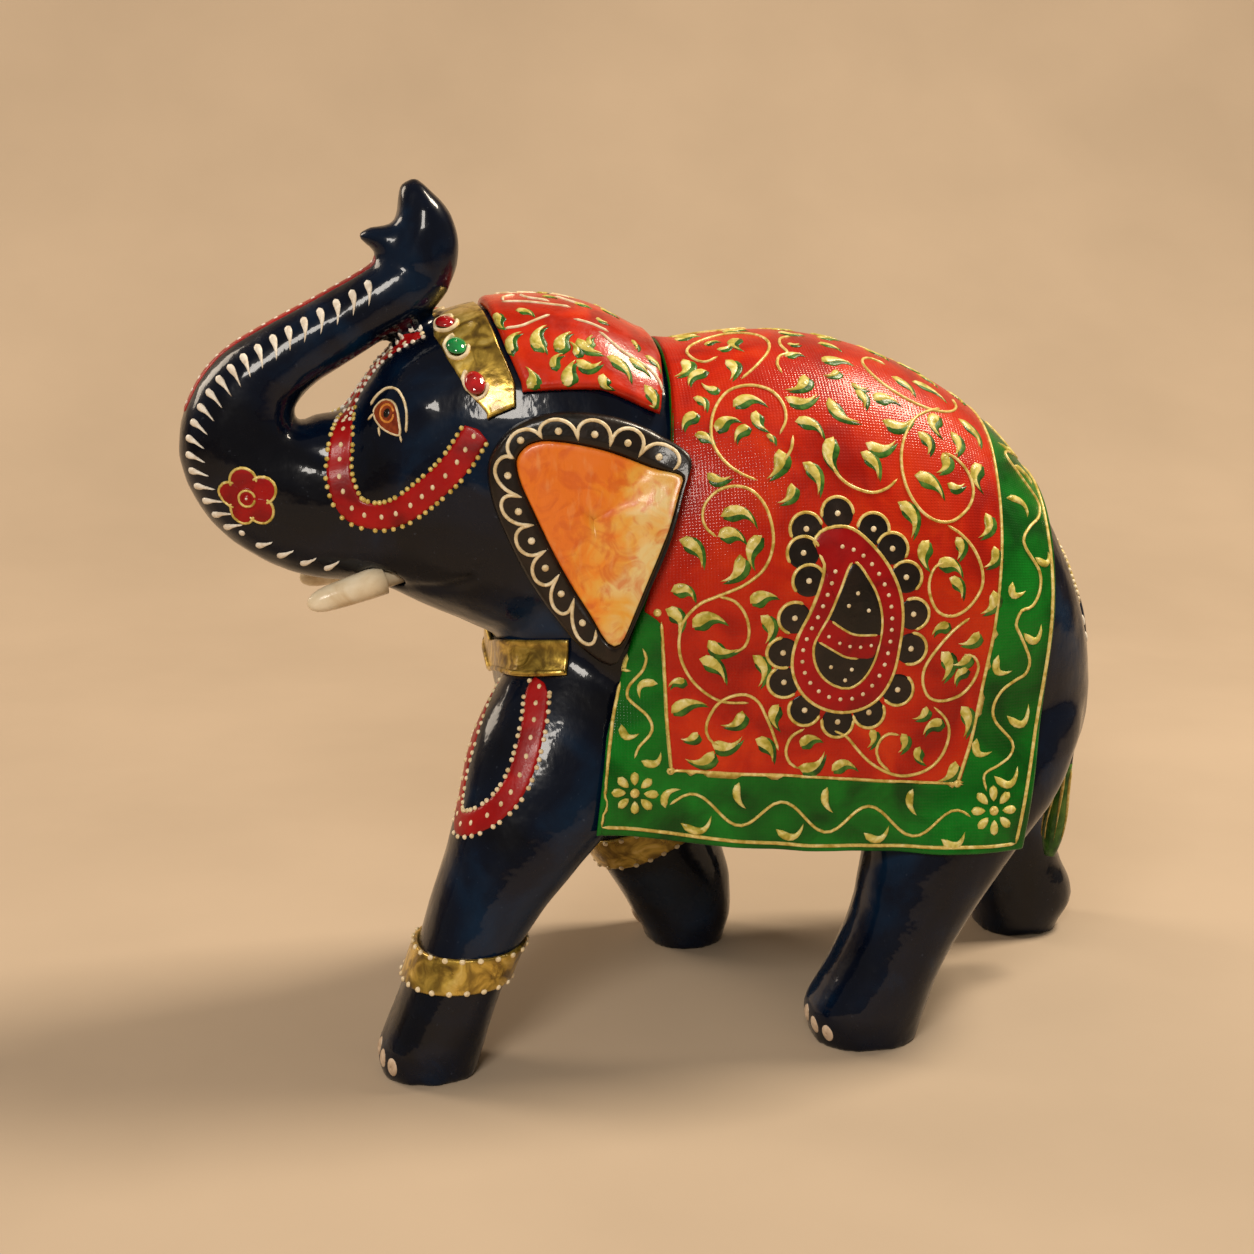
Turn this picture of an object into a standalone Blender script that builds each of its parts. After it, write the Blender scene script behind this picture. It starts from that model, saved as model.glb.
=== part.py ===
"""A painted wooden elephant statuette, walking, with its trunk curled up over its forehead.

The body is one carved block.  Ears, tusks, tail, saddle cloth, cap, gilded bands and stones are
separate pieces fitted to it.  The elephant faces -X, its left side faces -Y, +Z is up, and the
origin lies on the ground under the middle of its bounding box.  Lengths below are in millimetres.
"""
import math

import bmesh
import bpy
import numpy as np
from mathutils import Vector
from mathutils.bvhtree import BVHTree

MM = 0.001

# Driving dimensions
GAP = 0.3                # air left between two pieces that touch
CLOTH_THICKNESS = 1.3
CAP_THICKNESS = 2.2
BAND_THICKNESS = 1.4
COLLAR_THICKNESS = 1.1
ANKLET_THICKNESS = 0.9
GROUND_Z = -1.5          # the soles are cut at this level
SOLE_MARGIN = 6          # the legs are drawn this much too long before that
CENTRING = (0.85, -1.3)  # shift in x and y that puts the middle of the finished figure over the origin

# Body sections across the back: (x, top z, bottom z, half width)
TORSO = [
    (-44.3, 112, 78, 14), (-38, 130, 69, 23.5), (-26, 147, 60, 32), (-12, 157, 54, 38),
    (4, 161, 50, 41), (22, 162, 47, 42.5), (40, 159, 46, 42.5), (56, 152.5, 45, 42.5),
    (69, 144.5, 45, 41.5), (79, 135.5, 46, 39), (88, 122, 49, 34.5), (94, 109.5, 53, 29),
    (97.8, 97, 59, 22), (99.6, 87, 68, 12),
]
# Head sections, from the neck to the root of the trunk: (x, top z, bottom z, half width)
HEAD = [
    (6, 156.5, 92, 28), (-8, 162, 92, 32), (-20, 168.6, 91, 33.5), (-32, 171.2, 91, 32.5),
    (-44, 171, 93.5, 30.5), (-54, 169, 98, 27.5), (-63, 165.3, 102, 24), (-69.5, 160.5, 105.5, 21),
    (-75, 153.5, 107, 18), (-80, 146, 108.5, 16),
]
# Trunk, from the face round the bend to the tip: (x, z, half thickness, half width)
TRUNK = [
    (-60, 128, 22, 21), (-74, 127.6, 19.8, 17.5), (-86, 128.2, 19.2, 15.5), (-96.8, 132, 16.5, 14),
    (-103, 141, 14.4, 13), (-100.5, 152.3, 11.3, 12), (-92.5, 160, 9, 11), (-82, 166, 8.3, 10.2),
    (-72.8, 171.2, 8, 9.6), (-64.5, 176, 8.6, 9.4), (-59.6, 183, 8.2, 9),
]
BACK_LIP = [
    (-62.6, 177, 8.5, 9), (-59.8, 184, 8.3, 9), (-59.6, 190.3, 6.8, 8.5), (-61.6, 196, 4.3, 6.5), (-63, 200.2, 2, 3),
]
FRONT_LIP = [(-61, 181, 6, 8), (-65, 185, 4.6, 7), (-70, 187, 3, 5), (-75, 188, 1.2, 2)]
# Leg sections, from the foot up into the torso: (x, y, z, half length along x, half width along y)
LEGS = {
    "front_left": [
        (-66, -35, 0, 11.5, 12), (-65.6, -35, 4, 12.2, 13), (-63.2, -34.6, 10.6, 11.8, 13.2),
        (-59.5, -34, 20, 11.6, 13.4), (-55.2, -33, 29.6, 12, 13.8), (-50.6, -31.5, 38, 13.8, 14.5),
        (-44.2, -30, 48, 16.6, 15.5), (-36.6, -27.5, 60, 20.6, 16.5), (-30, -23, 76, 22.2, 16),
        (-22, -17, 94, 18, 12), (-18, -12, 106, 10, 8),
    ],
    "front_right": [
        (10.5, 38, 0, 10.4, 12), (10, 38, 4, 12.4, 13), (8.8, 38, 10, 14.2, 13.5), (5, 37, 20, 16.6, 14),
        (-0.5, 35.5, 30, 17.8, 14.5), (-8, 32, 45, 18, 16), (-14, 28, 60, 20, 17), (-19, 23, 76, 20, 16),
        (-21, 17, 94, 18, 12), (-18, 12, 106, 10, 8),
    ],
    "rear_left": [
        (38.8, -35, 0, 12.8, 12.5), (38.9, -35, 5.5, 14.5, 13.8), (41.6, -35, 12, 13.7, 13.8),
        (45.8, -34.5, 20, 13.3, 13.8), (50, -34, 28, 14, 14), (54, -33, 36, 16, 14.5),
        (58, -31.5, 44, 18.6, 15.5), (64.5, -28, 58, 24, 17), (70, -23, 76, 25, 16), (72, -16, 94, 18, 12),
    ],
    "rear_right": [
        (100.5, 30, 0, 11, 12), (102, 30, 6, 13.4, 13.4), (101, 30, 12, 13.8, 13.6), (97.7, 30, 18, 14, 13.6),
        (92.5, 30, 30, 15.5, 14), (86, 29, 44, 18.5, 15.5), (79, 27, 60, 21, 17), (73, 22, 78, 22, 16),
        (70, 16, 94, 18, 12),
    ],
}

# Saddle cloth: rows run round the girth, from 0 on the spine to 1 at the lower hem
GIRTH_CENTRE_Z = 100     # the cloth curves over the back above this level and hangs below it
GIRTH_ARC = 0.6          # share of the girth taken by the curve over the back
CLOTH_FRONT = [(0, -6.1), (0.15, -7), (0.3, -9.8), (0.45, -14.4), (0.6, -19), (0.8, -25), (1, -27.5)]
CLOTH_REAR = [(0, 86.5), (0.2, 85.5), (0.4, 84), (0.6, 82.3), (0.8, 78.5), (1, 74)]
CLOTH_HEM = [(-28, 55), (-3, 51), (21, 48.4), (45, 46.8), (76, 45.8)]
CLOTH_CLEARANCE = 0.95   # the cloth bridges small hollows, so it stands a little off the wood

# Cap and headband: angles in degrees round the head's axis, 90 on top and 0 at the left side
HEAD_AXIS_Z = 125
CAP_FRONT = [(38, -41.4), (49, -41.8), (62, -44.7), (74, -46.2), (90, -47.2)]
CAP_BACK = [(38, -10), (50, -8.2), (65, -7), (90, -7)]
CAP_HEM_ANGLE = [(0, 45.5), (0.56, 45), (1, 39)]   # share of the width from the front
BAND_FRONT = [(42, -49.7), (50, -53.7), (62, -57.2), (74, -59.4), (80, -59), (90, -56)]
BAND_BACK = [(42, -43.2), (49, -42.7), (62, -45.4), (74, -46.9), (90, -48)]
TRUNK_CLEARANCE = 2      # the headband is cut this far from the trunk
BAND_HEM_ANGLE = [(0, 39.5), (1, 42)]

# Collar round the throat
COLLAR_AXIS_X = -22
COLLAR_END_ANGLE = 72    # degrees round from the front
COLLAR_Z = 87.5
COLLAR_RISE = 6.9        # its sides stand this much higher than its front
COLLAR_HEIGHT = 7.6
LEG_REACH = 19           # rays towards a leg start this far out, short of the other leg

# Anklets on the two front legs
ANKLET_Z = {"left": 24.8, "right": 31}
ANKLET_HEIGHT = 8.6
ANKLET_TILT = {"left": 0, "right": 6.3}    # its +X side stands this much higher than its middle

# Ear outline on the left side, clockwise from the top front corner: (x, z)
EAR_OUTLINE = [
    (-46.1, 145.8), (-40.6, 149.3), (-33.6, 150.7), (-25.6, 150.3), (-17.6, 148.3), (-11.1, 145.1), (-5.1, 140.8),
    (-7.0, 134.3), (-10.8, 122.3), (-15.7, 110.8), (-20.7, 98.8), (-23.1, 93.3), (-28.1, 95.7), (-34.1, 102.3),
    (-40.8, 112.3), (-45.6, 121.9), (-49.1, 131.1), (-49.8, 139.3),
]
EAR_CENTRE = (-27, 127)
EAR_THICKNESS = 3.6
EAR_CLEARANCE = 1.0

# Tusks: centre of the socket mouth and the tip, on the left side
TUSK_ROOT = (-71.5, -11.3, 109.8)
TUSK_TIP = (-89.5, -14.5, 105)
TUSK_RADIUS = 3.3
TUSK_TIP_RADIUS = 2.0
TENON_RADIUS = 2.2
TENON_LENGTH = 7

# Stones on the headband: x, angle round the head's axis, half length, half width
STONES = [(-56.2, 77, 2.9, 2.4), (-54.8, 65, 3.2, 2.4), (-51.6, 51.5, 3.5, 2.4)]
STONE_HEIGHT = 1.4
STONE_SIDES = 12

# Tail: x, z, radius, all in the middle plane
TAIL = [
    (98, 103.5, 1.6), (100.2, 97.5, 2.2), (102.1, 92, 2.3), (103.3, 85, 2.3), (103.4, 76, 2.2), (102.4, 62, 1.9),
    (101, 48, 2), (99.6, 38, 2.8), (98.8, 32, 2.4), (98.4, 27.5, 1.2),
]
TAIL_SIDES = 12

RING_SIDES = 32          # corners of one section of the block
SECTION_POWER = 2.3      # 2 is an ellipse, more is squarer
VOXEL = 1.2              # size of the grid that fuses the lofts into one block
FUSE_SMOOTHING = 10      # passes that soften the creases between the lofts
BODY_TRIANGLES = 5200


def clear_scene():
    """Remove whatever the start-up scene holds."""
    for obj in list(bpy.data.objects):
        bpy.data.objects.remove(obj, do_unlink=True)


def make_material(name, color, roughness, metallic=0.0):
    """A plain Principled material for one sub-part."""
    material = bpy.data.materials.new(name)
    material.use_nodes = True
    shader = material.node_tree.nodes["Principled BSDF"]
    shader.inputs["Base Color"].default_value = (*color, 1.0)
    shader.inputs["Roughness"].default_value = roughness
    shader.inputs["Metallic"].default_value = metallic
    return material


def smooth_rows(rows, steps=4):
    """Catmull-Rom curve through rows of numbers, steps points for each span."""
    rows = np.array(rows, dtype=float)
    padded = np.vstack([2 * rows[0] - rows[1], rows, 2 * rows[-1] - rows[-2]])
    return np.vstack([curve_points(padded, steps), rows[-1]])


def smooth_closed(points, steps):
    """Catmull-Rom curve through a closed outline."""
    points = np.array(points, dtype=float)
    return curve_points(np.vstack([points[-1:], points, points[:2]]), steps)


def curve_points(padded, steps):
    """Catmull-Rom points between the second row and the last but one."""
    curve = []
    for i in range(1, len(padded) - 2):
        before, start, end, after = padded[i - 1:i + 3]
        for t in np.linspace(0, 1, steps, endpoint=False):
            curve.append(0.5 * (2 * start + (end - before) * t
                                + (2 * before - 5 * start + 4 * end - after) * t ** 2
                                + (3 * start - before - 3 * end + after) * t ** 3))
    return np.array(curve)


def section(center, across, up, half_across, half_up):
    """One closed superellipse ring of points."""
    points = []
    for i in range(RING_SIDES):
        angle = 2 * math.pi * i / RING_SIDES
        c, s = math.cos(angle), math.sin(angle)
        a = math.copysign(abs(c) ** (2 / SECTION_POWER), c) * half_across
        b = math.copysign(abs(s) ** (2 / SECTION_POWER), s) * half_up
        points.append(Vector(center) + Vector(across) * a + Vector(up) * b)
    return points


def loft(bm, rings):
    """Skin a list of rings and close both ends."""
    bridge(bm, [[bm.verts.new(p * MM) for p in ring] for ring in rings])


def loft_sections(bm, stations):
    """Loft upright sections that stand across the back: rows of x, top, bottom, half width."""
    rings = []
    for x, top, bottom, half_width in smooth_rows(stations):
        rings.append(section((x, 0, (top + bottom) / 2), (0, 1, 0), (0, 0, 1),
                             half_width, (top - bottom) / 2))
    loft(bm, rings)


def loft_path(bm, stations):
    """Loft sections square to a path in the middle plane: rows of x, z, half thickness, half width."""
    rows = smooth_rows(stations)
    tangents = np.gradient(rows[:, :2], axis=0)
    rings = []
    for (x, z, thickness, width), (dx, dz) in zip(rows, tangents):
        normal = Vector((-dz, 0, dx)).normalized()
        rings.append(section((x, 0, z), (0, 1, 0), normal, max(width, 0.5), max(thickness, 0.5)))
    loft(bm, rings)


def loft_leg(bm, stations):
    """Loft level sections up one leg: rows of x, y, z, half length, half width."""
    x, y, z, length, width = stations[0]
    below_ground = (x, y, z - SOLE_MARGIN, length, width)
    rings = []
    for x, y, z, length, width in smooth_rows([below_ground] + stations):
        rings.append(section((x, y, z), (1, 0, 0), (0, 1, 0), length, width))
    loft(bm, rings)


def new_object(name, bm, material=None):
    """Turn a bmesh into a named object in the scene."""
    bmesh.ops.recalc_face_normals(bm, faces=bm.faces)
    mesh = bpy.data.meshes.new(name)
    bm.to_mesh(mesh)
    bm.free()
    mesh.shade_smooth()
    obj = bpy.data.objects.new(name, mesh)
    bpy.context.scene.collection.objects.link(obj)
    if material:
        mesh.materials.append(material)
    return obj


def apply_modifiers(obj):
    """Replace an object's mesh with its evaluated mesh."""
    depsgraph = bpy.context.evaluated_depsgraph_get()
    mesh = bpy.data.meshes.new_from_object(obj.evaluated_get(depsgraph))
    obj.modifiers.clear()
    obj.data = mesh


def fuse(obj, triangles):
    """Melt overlapping lofts into one smooth closed skin with about the given number of triangles."""
    remesh = obj.modifiers.new("fuse", "REMESH")
    remesh.mode = "VOXEL"
    remesh.voxel_size = VOXEL * MM
    soften = obj.modifiers.new("soften", "SMOOTH")
    soften.factor = 0.5
    soften.iterations = FUSE_SMOOTHING
    apply_modifiers(obj)
    reduce = obj.modifiers.new("reduce", "DECIMATE")
    reduce.ratio = triangles / (2 * len(obj.data.polygons))
    apply_modifiers(obj)


def build_block(name, with_trunk, triangles, material=None):
    """The carved block, or the same block without its trunk, which the worn pieces are fitted to."""
    bm = bmesh.new()
    loft_sections(bm, TORSO)
    loft_sections(bm, HEAD)
    if with_trunk:
        for path in (TRUNK, BACK_LIP, FRONT_LIP):
            loft_path(bm, path)
    for leg in LEGS.values():
        loft_leg(bm, leg)
    block = new_object(name, bm, material)
    fuse(block, triangles)
    return block


def hide_as_guide(obj):
    """Mark a cutter or a guide, which isn't a piece of the elephant."""
    obj.hide_render = True
    obj.display_type = "WIRE"


def tree_of(*objects):
    """Search tree over the faces of some objects, in metres."""
    bm = bmesh.new()
    for obj in objects:
        bm.from_mesh(obj.data)
    tree = BVHTree.FromBMesh(bm)
    bm.free()
    return tree


def reach(tree, base, outward, start=120):
    """Distance in millimetres from base to the surface, seen from outside along -outward."""
    base, outward = Vector(base), Vector(outward)
    hit = tree.ray_cast((base + outward * start) * MM, -outward)[0]
    return (hit / MM - base).dot(outward)


def look_up(table, value):
    """Straight-line reading of a two-column table."""
    keys, values = zip(*table)
    return float(np.interp(value, keys, values))


def plate(name, inner, outer, material, closed_ring=False):
    """A closed shell between two matching grids of points; closed_ring joins the last row to the first."""
    rows, columns = len(inner), len(inner[0])
    bm = bmesh.new()
    low = [[bm.verts.new(Vector(p) * MM) for p in row] for row in inner]
    high = [[bm.verts.new(Vector(p) * MM) for p in row] for row in outer]
    last = rows if closed_ring else rows - 1
    for i in range(last):
        k = (i + 1) % rows
        for j in range(columns - 1):
            bm.faces.new((low[i][j], low[i][j + 1], low[k][j + 1], low[k][j]))
            bm.faces.new((high[i][j], high[k][j], high[k][j + 1], high[i][j + 1]))
        for j in (0, columns - 1):
            bm.faces.new((low[i][j], low[k][j], high[k][j], high[i][j]))
    if not closed_ring:
        for i in (0, rows - 1):
            for j in range(columns - 1):
                bm.faces.new((low[i][j], low[i][j + 1], high[i][j + 1], high[i][j]))
    return new_object(name, bm, material)


def girth_base(x, t):
    """Base point and outward direction of a row of the saddle cloth; t is -1 at the left hem, 1 at the right."""
    side = 1 if t > 0 else -1
    share = abs(t)
    if share <= GIRTH_ARC:
        angle = math.pi / 2 * (1 - share / GIRTH_ARC)
        return (x, 0, GIRTH_CENTRE_Z), (0, side * math.cos(angle), math.sin(angle))
    drop = (share - GIRTH_ARC) / (1 - GIRTH_ARC)
    z = GIRTH_CENTRE_Z + (look_up(CLOTH_HEM, x) - GIRTH_CENTRE_Z) * drop
    return (x, 0, z), (0, side, 0)


def build_saddle_cloth(tree, material, rows=29, columns=21):
    """The cloth curves over the back and hangs straight from the widest part of the flanks."""
    turns = np.linspace(-1, 1, rows)
    places = []
    reaches = np.zeros((rows, columns))
    for i, t in enumerate(turns):
        front, rear = look_up(CLOTH_FRONT, abs(t)), look_up(CLOTH_REAR, abs(t))
        row = [girth_base(x, t) for x in np.linspace(front, rear, columns)]
        places.append(row)
        reaches[i] = [reach(tree, base, outward) for base, outward in row]
    hang_down(turns, reaches)
    eased = reaches.copy()
    for _ in range(3):
        eased[1:-1, 1:-1] = (eased[:-2, 1:-1] + eased[2:, 1:-1] + eased[1:-1, :-2] + eased[1:-1, 2:]) / 4
    reaches = np.maximum(reaches, eased) + CLOTH_CLEARANCE

    def surface(extra):
        return [[Vector(base) + Vector(outward) * (r + extra) for (base, outward), r in zip(row, line)]
                for row, line in zip(places, reaches)]
    return plate("saddle_cloth", surface(0), surface(CLOTH_THICKNESS), material)


def hang_down(turns, reaches):
    """Below the curve, each row hangs no nearer the middle than the row above it."""
    middle = len(turns) // 2
    for order in (range(middle, -1, -1), range(middle, len(turns))):
        above = None
        for i in order:
            if abs(turns[i]) > GIRTH_ARC:
                reaches[i] = np.maximum(reaches[i], above)
            above = reaches[i]


def head_base(x, degrees):
    """Base point and outward direction for a piece worn on the head; 0 degrees points left."""
    angle = math.radians(degrees)
    return (x, 0, HEAD_AXIS_Z), (0, -math.cos(angle), math.sin(angle))


def head_wrap(name, tree, edges, hem_angle, clearance, thickness, rows, columns, material):
    """A piece wrapped over the head from one hem to the other; edges gives its front and back x."""
    front, back = edges
    inner, outer = [], []
    for s in np.linspace(-1, 1, rows):
        inner_row, outer_row = [], []
        for u in np.linspace(0, 1, columns):
            hem = hem_angle(u)
            angle = 90 - (90 - hem) * abs(s)
            x = look_up(front, angle) * (1 - u) + look_up(back, angle) * u
            base, outward = head_base(x, angle if s < 0 else 180 - angle)
            r = reach(tree, base, outward)
            inner_row.append(Vector(base) + Vector(outward) * (r + clearance))
            outer_row.append(Vector(base) + Vector(outward) * (r + clearance + thickness))
        inner.append(inner_row)
        outer.append(outer_row)
    return plate(name, inner, outer, material)


def build_cap(tree, material):
    """Close cap over the crown, down to just above the ears."""
    def hem(u):
        return look_up(CAP_HEM_ANGLE, u)
    return head_wrap("head_cap", tree, (CAP_FRONT, CAP_BACK), hem, 1.5 * GAP, CAP_THICKNESS, 21, 11, material)


def build_headband(tree, material):
    """Gilded band across the forehead, cut clear of the trunk that rests against it."""
    def hem(u):
        return look_up(BAND_HEM_ANGLE, u)
    band = head_wrap("headband", tree, (BAND_FRONT, BAND_BACK), hem, 1.5 * GAP,
                     BAND_THICKNESS, 21, 4, material)
    bm = bmesh.new()
    for path in (TRUNK[-6:], BACK_LIP[:3]):
        loft_path(bm, [(x, z, thickness + TRUNK_CLEARANCE, width + TRUNK_CLEARANCE)
                       for x, z, thickness, width in path])
    clearance = new_object("trunk_clearance", bm)
    hide_as_guide(clearance)
    cut(band, clearance, self_crossing=True)
    return band


def cut(obj, cutter, self_crossing=False):
    """Exact Boolean difference."""
    boolean = obj.modifiers.new("cut", "BOOLEAN")
    boolean.operation = "DIFFERENCE"
    boolean.solver = "EXACT"
    boolean.use_self = self_crossing
    boolean.object = cutter


def build_collar(tree, material, rows=19, columns=4):
    """Gilded collar round the front of the throat, its ends tucked behind the ears."""
    inner, outer = [], []
    for degrees in np.linspace(-COLLAR_END_ANGLE, COLLAR_END_ANGLE, rows):
        angle = math.radians(degrees)
        outward = Vector((-math.cos(angle), math.sin(angle), 0))
        inner_row, outer_row = [], []
        for u in np.linspace(-0.5, 0.5, columns):
            base = Vector((COLLAR_AXIS_X, 0, COLLAR_Z + COLLAR_HEIGHT * u))
            base.z += COLLAR_RISE * abs(outward.y)
            r = reach(tree, base, outward) + 1.5 * GAP
            inner_row.append(base + outward * r)
            outer_row.append(base + outward * (r + COLLAR_THICKNESS))
        inner.append(inner_row)
        outer.append(outer_row)
    return plate("collar", inner, outer, material)


def build_anklet(side, tree, material, rows=24, columns=4):
    """Gilded ring round one front leg."""
    leg = smooth_rows(LEGS["front_" + side])
    z_mid = ANKLET_Z[side]
    inner, outer = [], []
    for turn in np.linspace(0, 2 * math.pi, rows, endpoint=False):
        outward = Vector((math.cos(turn), math.sin(turn), 0))
        inner_row, outer_row = [], []
        for u in np.linspace(-0.5, 0.5, columns):
            z = z_mid + ANKLET_HEIGHT * u + ANKLET_TILT[side] * outward.x
            base = Vector((np.interp(z, leg[:, 2], leg[:, 0]), np.interp(z, leg[:, 2], leg[:, 1]), z))
            r = reach(tree, base, outward, start=LEG_REACH) + 1.5 * GAP
            inner_row.append(base + outward * r)
            outer_row.append(base + outward * (r + ANKLET_THICKNESS))
        inner.append(inner_row)
        outer.append(outer_row)
    return plate("anklet_" + side, inner, outer, material, closed_ring=True)


def build_ear(side, tree, material, rings=4):
    """A thick leaf glued on the side of the head; it follows what lies under it at a small distance."""
    sign = -1 if side == "left" else 1
    outline = smooth_closed(EAR_OUTLINE, 2)
    centre = np.array(EAR_CENTRE)

    def pair(x, z):
        near = [reach(tree, (x + dx, 0, z + dz), (0, sign, 0)) for dx, dz in
                ((0, 0), (2, 0), (-2, 0), (0, 2), (0, -2))]
        y = max(near) + EAR_CLEARANCE
        return Vector((x, sign * y, z)), Vector((x, sign * (y + EAR_THICKNESS), z))

    bm = bmesh.new()
    rims = []
    for face in (0, 1):
        middle = bm.verts.new(pair(*centre)[face] * MM)
        loops = []
        for share in np.linspace(1 / rings, 1, rings):
            loops.append([bm.verts.new(pair(*(centre + (p - centre) * share))[face] * MM) for p in outline])
        for i in range(len(outline)):
            k = (i + 1) % len(outline)
            bm.faces.new((middle, loops[0][i], loops[0][k]))
            for small, large in zip(loops, loops[1:]):
                bm.faces.new((small[i], large[i], large[k], small[k]))
        rims.append(loops[-1])
    for i in range(len(outline)):
        k = (i + 1) % len(outline)
        bm.faces.new((rims[0][i], rims[1][i], rims[1][k], rims[0][k]))
    return new_object("ear_" + side, bm, material)


def turned(name, start, end, profile, sides, material=None):
    """A round solid along a straight axis; profile lists distance from start and radius."""
    start, end = Vector(start), Vector(end)
    axis = (end - start).normalized()
    across = axis.orthogonal().normalized()
    up = axis.cross(across)
    bm = bmesh.new()
    loops = []
    for distance, radius in profile:
        loop = []
        for i in range(sides):
            angle = 2 * math.pi * i / sides
            arm = across * math.cos(angle) + up * math.sin(angle)
            loop.append(bm.verts.new((start + axis * distance + arm * radius) * MM))
        loops.append(loop)
    bridge(bm, loops)
    return new_object(name, bm, material)


def bridge(bm, loops):
    """Skin a row of equal closed loops and close both ends."""
    count = len(loops[0])
    for low, high in zip(loops, loops[1:]):
        for i in range(count):
            j = (i + 1) % count
            bm.faces.new((low[i], low[j], high[j], high[i]))
    bm.faces.new(loops[0])
    bm.faces.new(loops[-1])


def build_tusk(side, body, material):
    """A short blunt tusk with a round tenon that sits in a blind socket of the block."""
    sign = -1 if side == "left" else 1
    root = Vector((TUSK_ROOT[0], -sign * TUSK_ROOT[1], TUSK_ROOT[2]))
    tip = Vector((TUSK_TIP[0], -sign * TUSK_TIP[1], TUSK_TIP[2]))
    length = (tip - root).length
    depth = TENON_LENGTH + GAP
    socket = turned("tusk_socket_" + side, root, tip,
                    [(-depth, TENON_RADIUS + GAP), (0, TENON_RADIUS + GAP), (0.01, TUSK_RADIUS + GAP),
                     (length / 2, TUSK_RADIUS + GAP)], 16)
    hide_as_guide(socket)
    cut(body, socket)
    return turned("tusk_" + side, root, tip,
                  [(-TENON_LENGTH, TENON_RADIUS), (GAP, TENON_RADIUS), (1.1 * GAP, TUSK_RADIUS),
                   (0.55 * length, TUSK_RADIUS), (0.85 * length, 0.85 * TUSK_RADIUS),
                   (0.95 * length, TUSK_TIP_RADIUS), (length, 0.35 * TUSK_TIP_RADIUS)], 16, material)


def build_stone(side, number, band_tree, material):
    """A domed oval stone seated on the headband."""
    x, degrees, half_length, half_width = STONES[number - 1]
    base, outward = head_base(x, degrees if side == "left" else 180 - degrees)
    outward = Vector(outward)
    along = Vector((1, 0, 0))
    across = outward.cross(along)
    arms = [Vector(), along * half_width, -along * half_width, across * half_length, -across * half_length]
    seat = Vector(base) + outward * (max(reach(band_tree, Vector(base) + arm, outward) for arm in arms) + GAP)
    bm = bmesh.new()
    loops = []
    for height, share in ((0, 1), (0.35, 0.96), (0.7, 0.78), (0.92, 0.5), (1, 0.2)):
        loop = []
        for i in range(STONE_SIDES):
            angle = 2 * math.pi * i / STONE_SIDES
            arm = along * math.cos(angle) * half_width + across * math.sin(angle) * half_length
            loop.append(bm.verts.new((seat + arm * share + outward * height * STONE_HEIGHT) * MM))
        loops.append(loop)
    bridge(bm, loops)
    return new_object(f"stone_{side}_{number}", bm, material)


def build_tail(material):
    """Thin tail that hangs from the top of the rump and ends in a tuft."""
    bm = bmesh.new()
    loops = []
    rows = smooth_rows(TAIL, 2)
    tangents = np.gradient(rows[:, :2], axis=0)
    for (x, z, radius), (dx, dz) in zip(rows, tangents):
        across = Vector((-dz, 0, dx)).normalized()
        loop = []
        for i in range(TAIL_SIDES):
            angle = 2 * math.pi * i / TAIL_SIDES
            arm = across * math.cos(angle) + Vector((0, 1, 0)) * math.sin(angle)
            loop.append(bm.verts.new((Vector((x, 0, z)) + arm * radius) * MM))
        loops.append(loop)
    bridge(bm, loops)
    return new_object("tail", bm, material)


def level_soles(body):
    """Cut the feet off flat at the ground."""
    bm = bmesh.new()
    bmesh.ops.create_cube(bm, size=1)
    bmesh.ops.scale(bm, vec=(0.4, 0.2, 0.04), verts=bm.verts)
    bmesh.ops.translate(bm, vec=(0, 0, -0.02 + GROUND_Z * MM), verts=bm.verts)
    ground = new_object("ground_cutter", bm)
    hide_as_guide(ground)
    cut(body, ground)


def main():
    clear_scene()
    black = make_material("black_lacquer", (0.010, 0.014, 0.030), 0.25)
    red = make_material("red_paint", (0.46, 0.03, 0.012), 0.35)
    gilt = make_material("gilt_paint", (0.48, 0.31, 0.05), 0.4, 0.8)
    orange = make_material("ear_paint", (0.75, 0.30, 0.06), 0.45)
    ivory = make_material("ivory_paint", (0.80, 0.66, 0.45), 0.35)
    red_stone = make_material("red_stone", (0.45, 0.01, 0.02), 0.1)
    green_stone = make_material("green_stone", (0.01, 0.22, 0.06), 0.1)

    body = build_block("body", True, BODY_TRIANGLES, black)
    core = build_block("core_guide", False, 12000)
    hide_as_guide(core)
    core_tree = tree_of(core)
    cloth = build_saddle_cloth(core_tree, red)
    build_cap(core_tree, red)
    band = build_headband(core_tree, gilt)
    build_collar(core_tree, gilt)
    under_ears = tree_of(core, cloth)
    for side in ("left", "right"):
        build_anklet(side, core_tree, gilt)
        build_ear(side, under_ears, orange)
        build_tusk(side, body, ivory)
        for number, material in ((1, red_stone), (2, green_stone), (3, red_stone)):
            build_stone(side, number, tree_of(band), material)
    build_tail(black)
    level_soles(body)
    for obj in bpy.data.objects:
        obj.location = Vector((*CENTRING, -GROUND_Z)) * MM


main()
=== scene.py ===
"""Looks of a carved and painted wooden elephant: gloss lacquer, a painted saddle cloth and raised brush lines.

Lengths are in millimetres in the drawing frame, whose y = 0 is the figure's middle plane, with its left
side towards -y.  A place on the saddle cloth or the cap is (x, s): s runs over the surface from the spine,
negative on the left side.
"""

import math
import random

import bmesh
import bpy
import numpy as np
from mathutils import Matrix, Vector, noise
from mathutils.bvhtree import BVHTree


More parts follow.
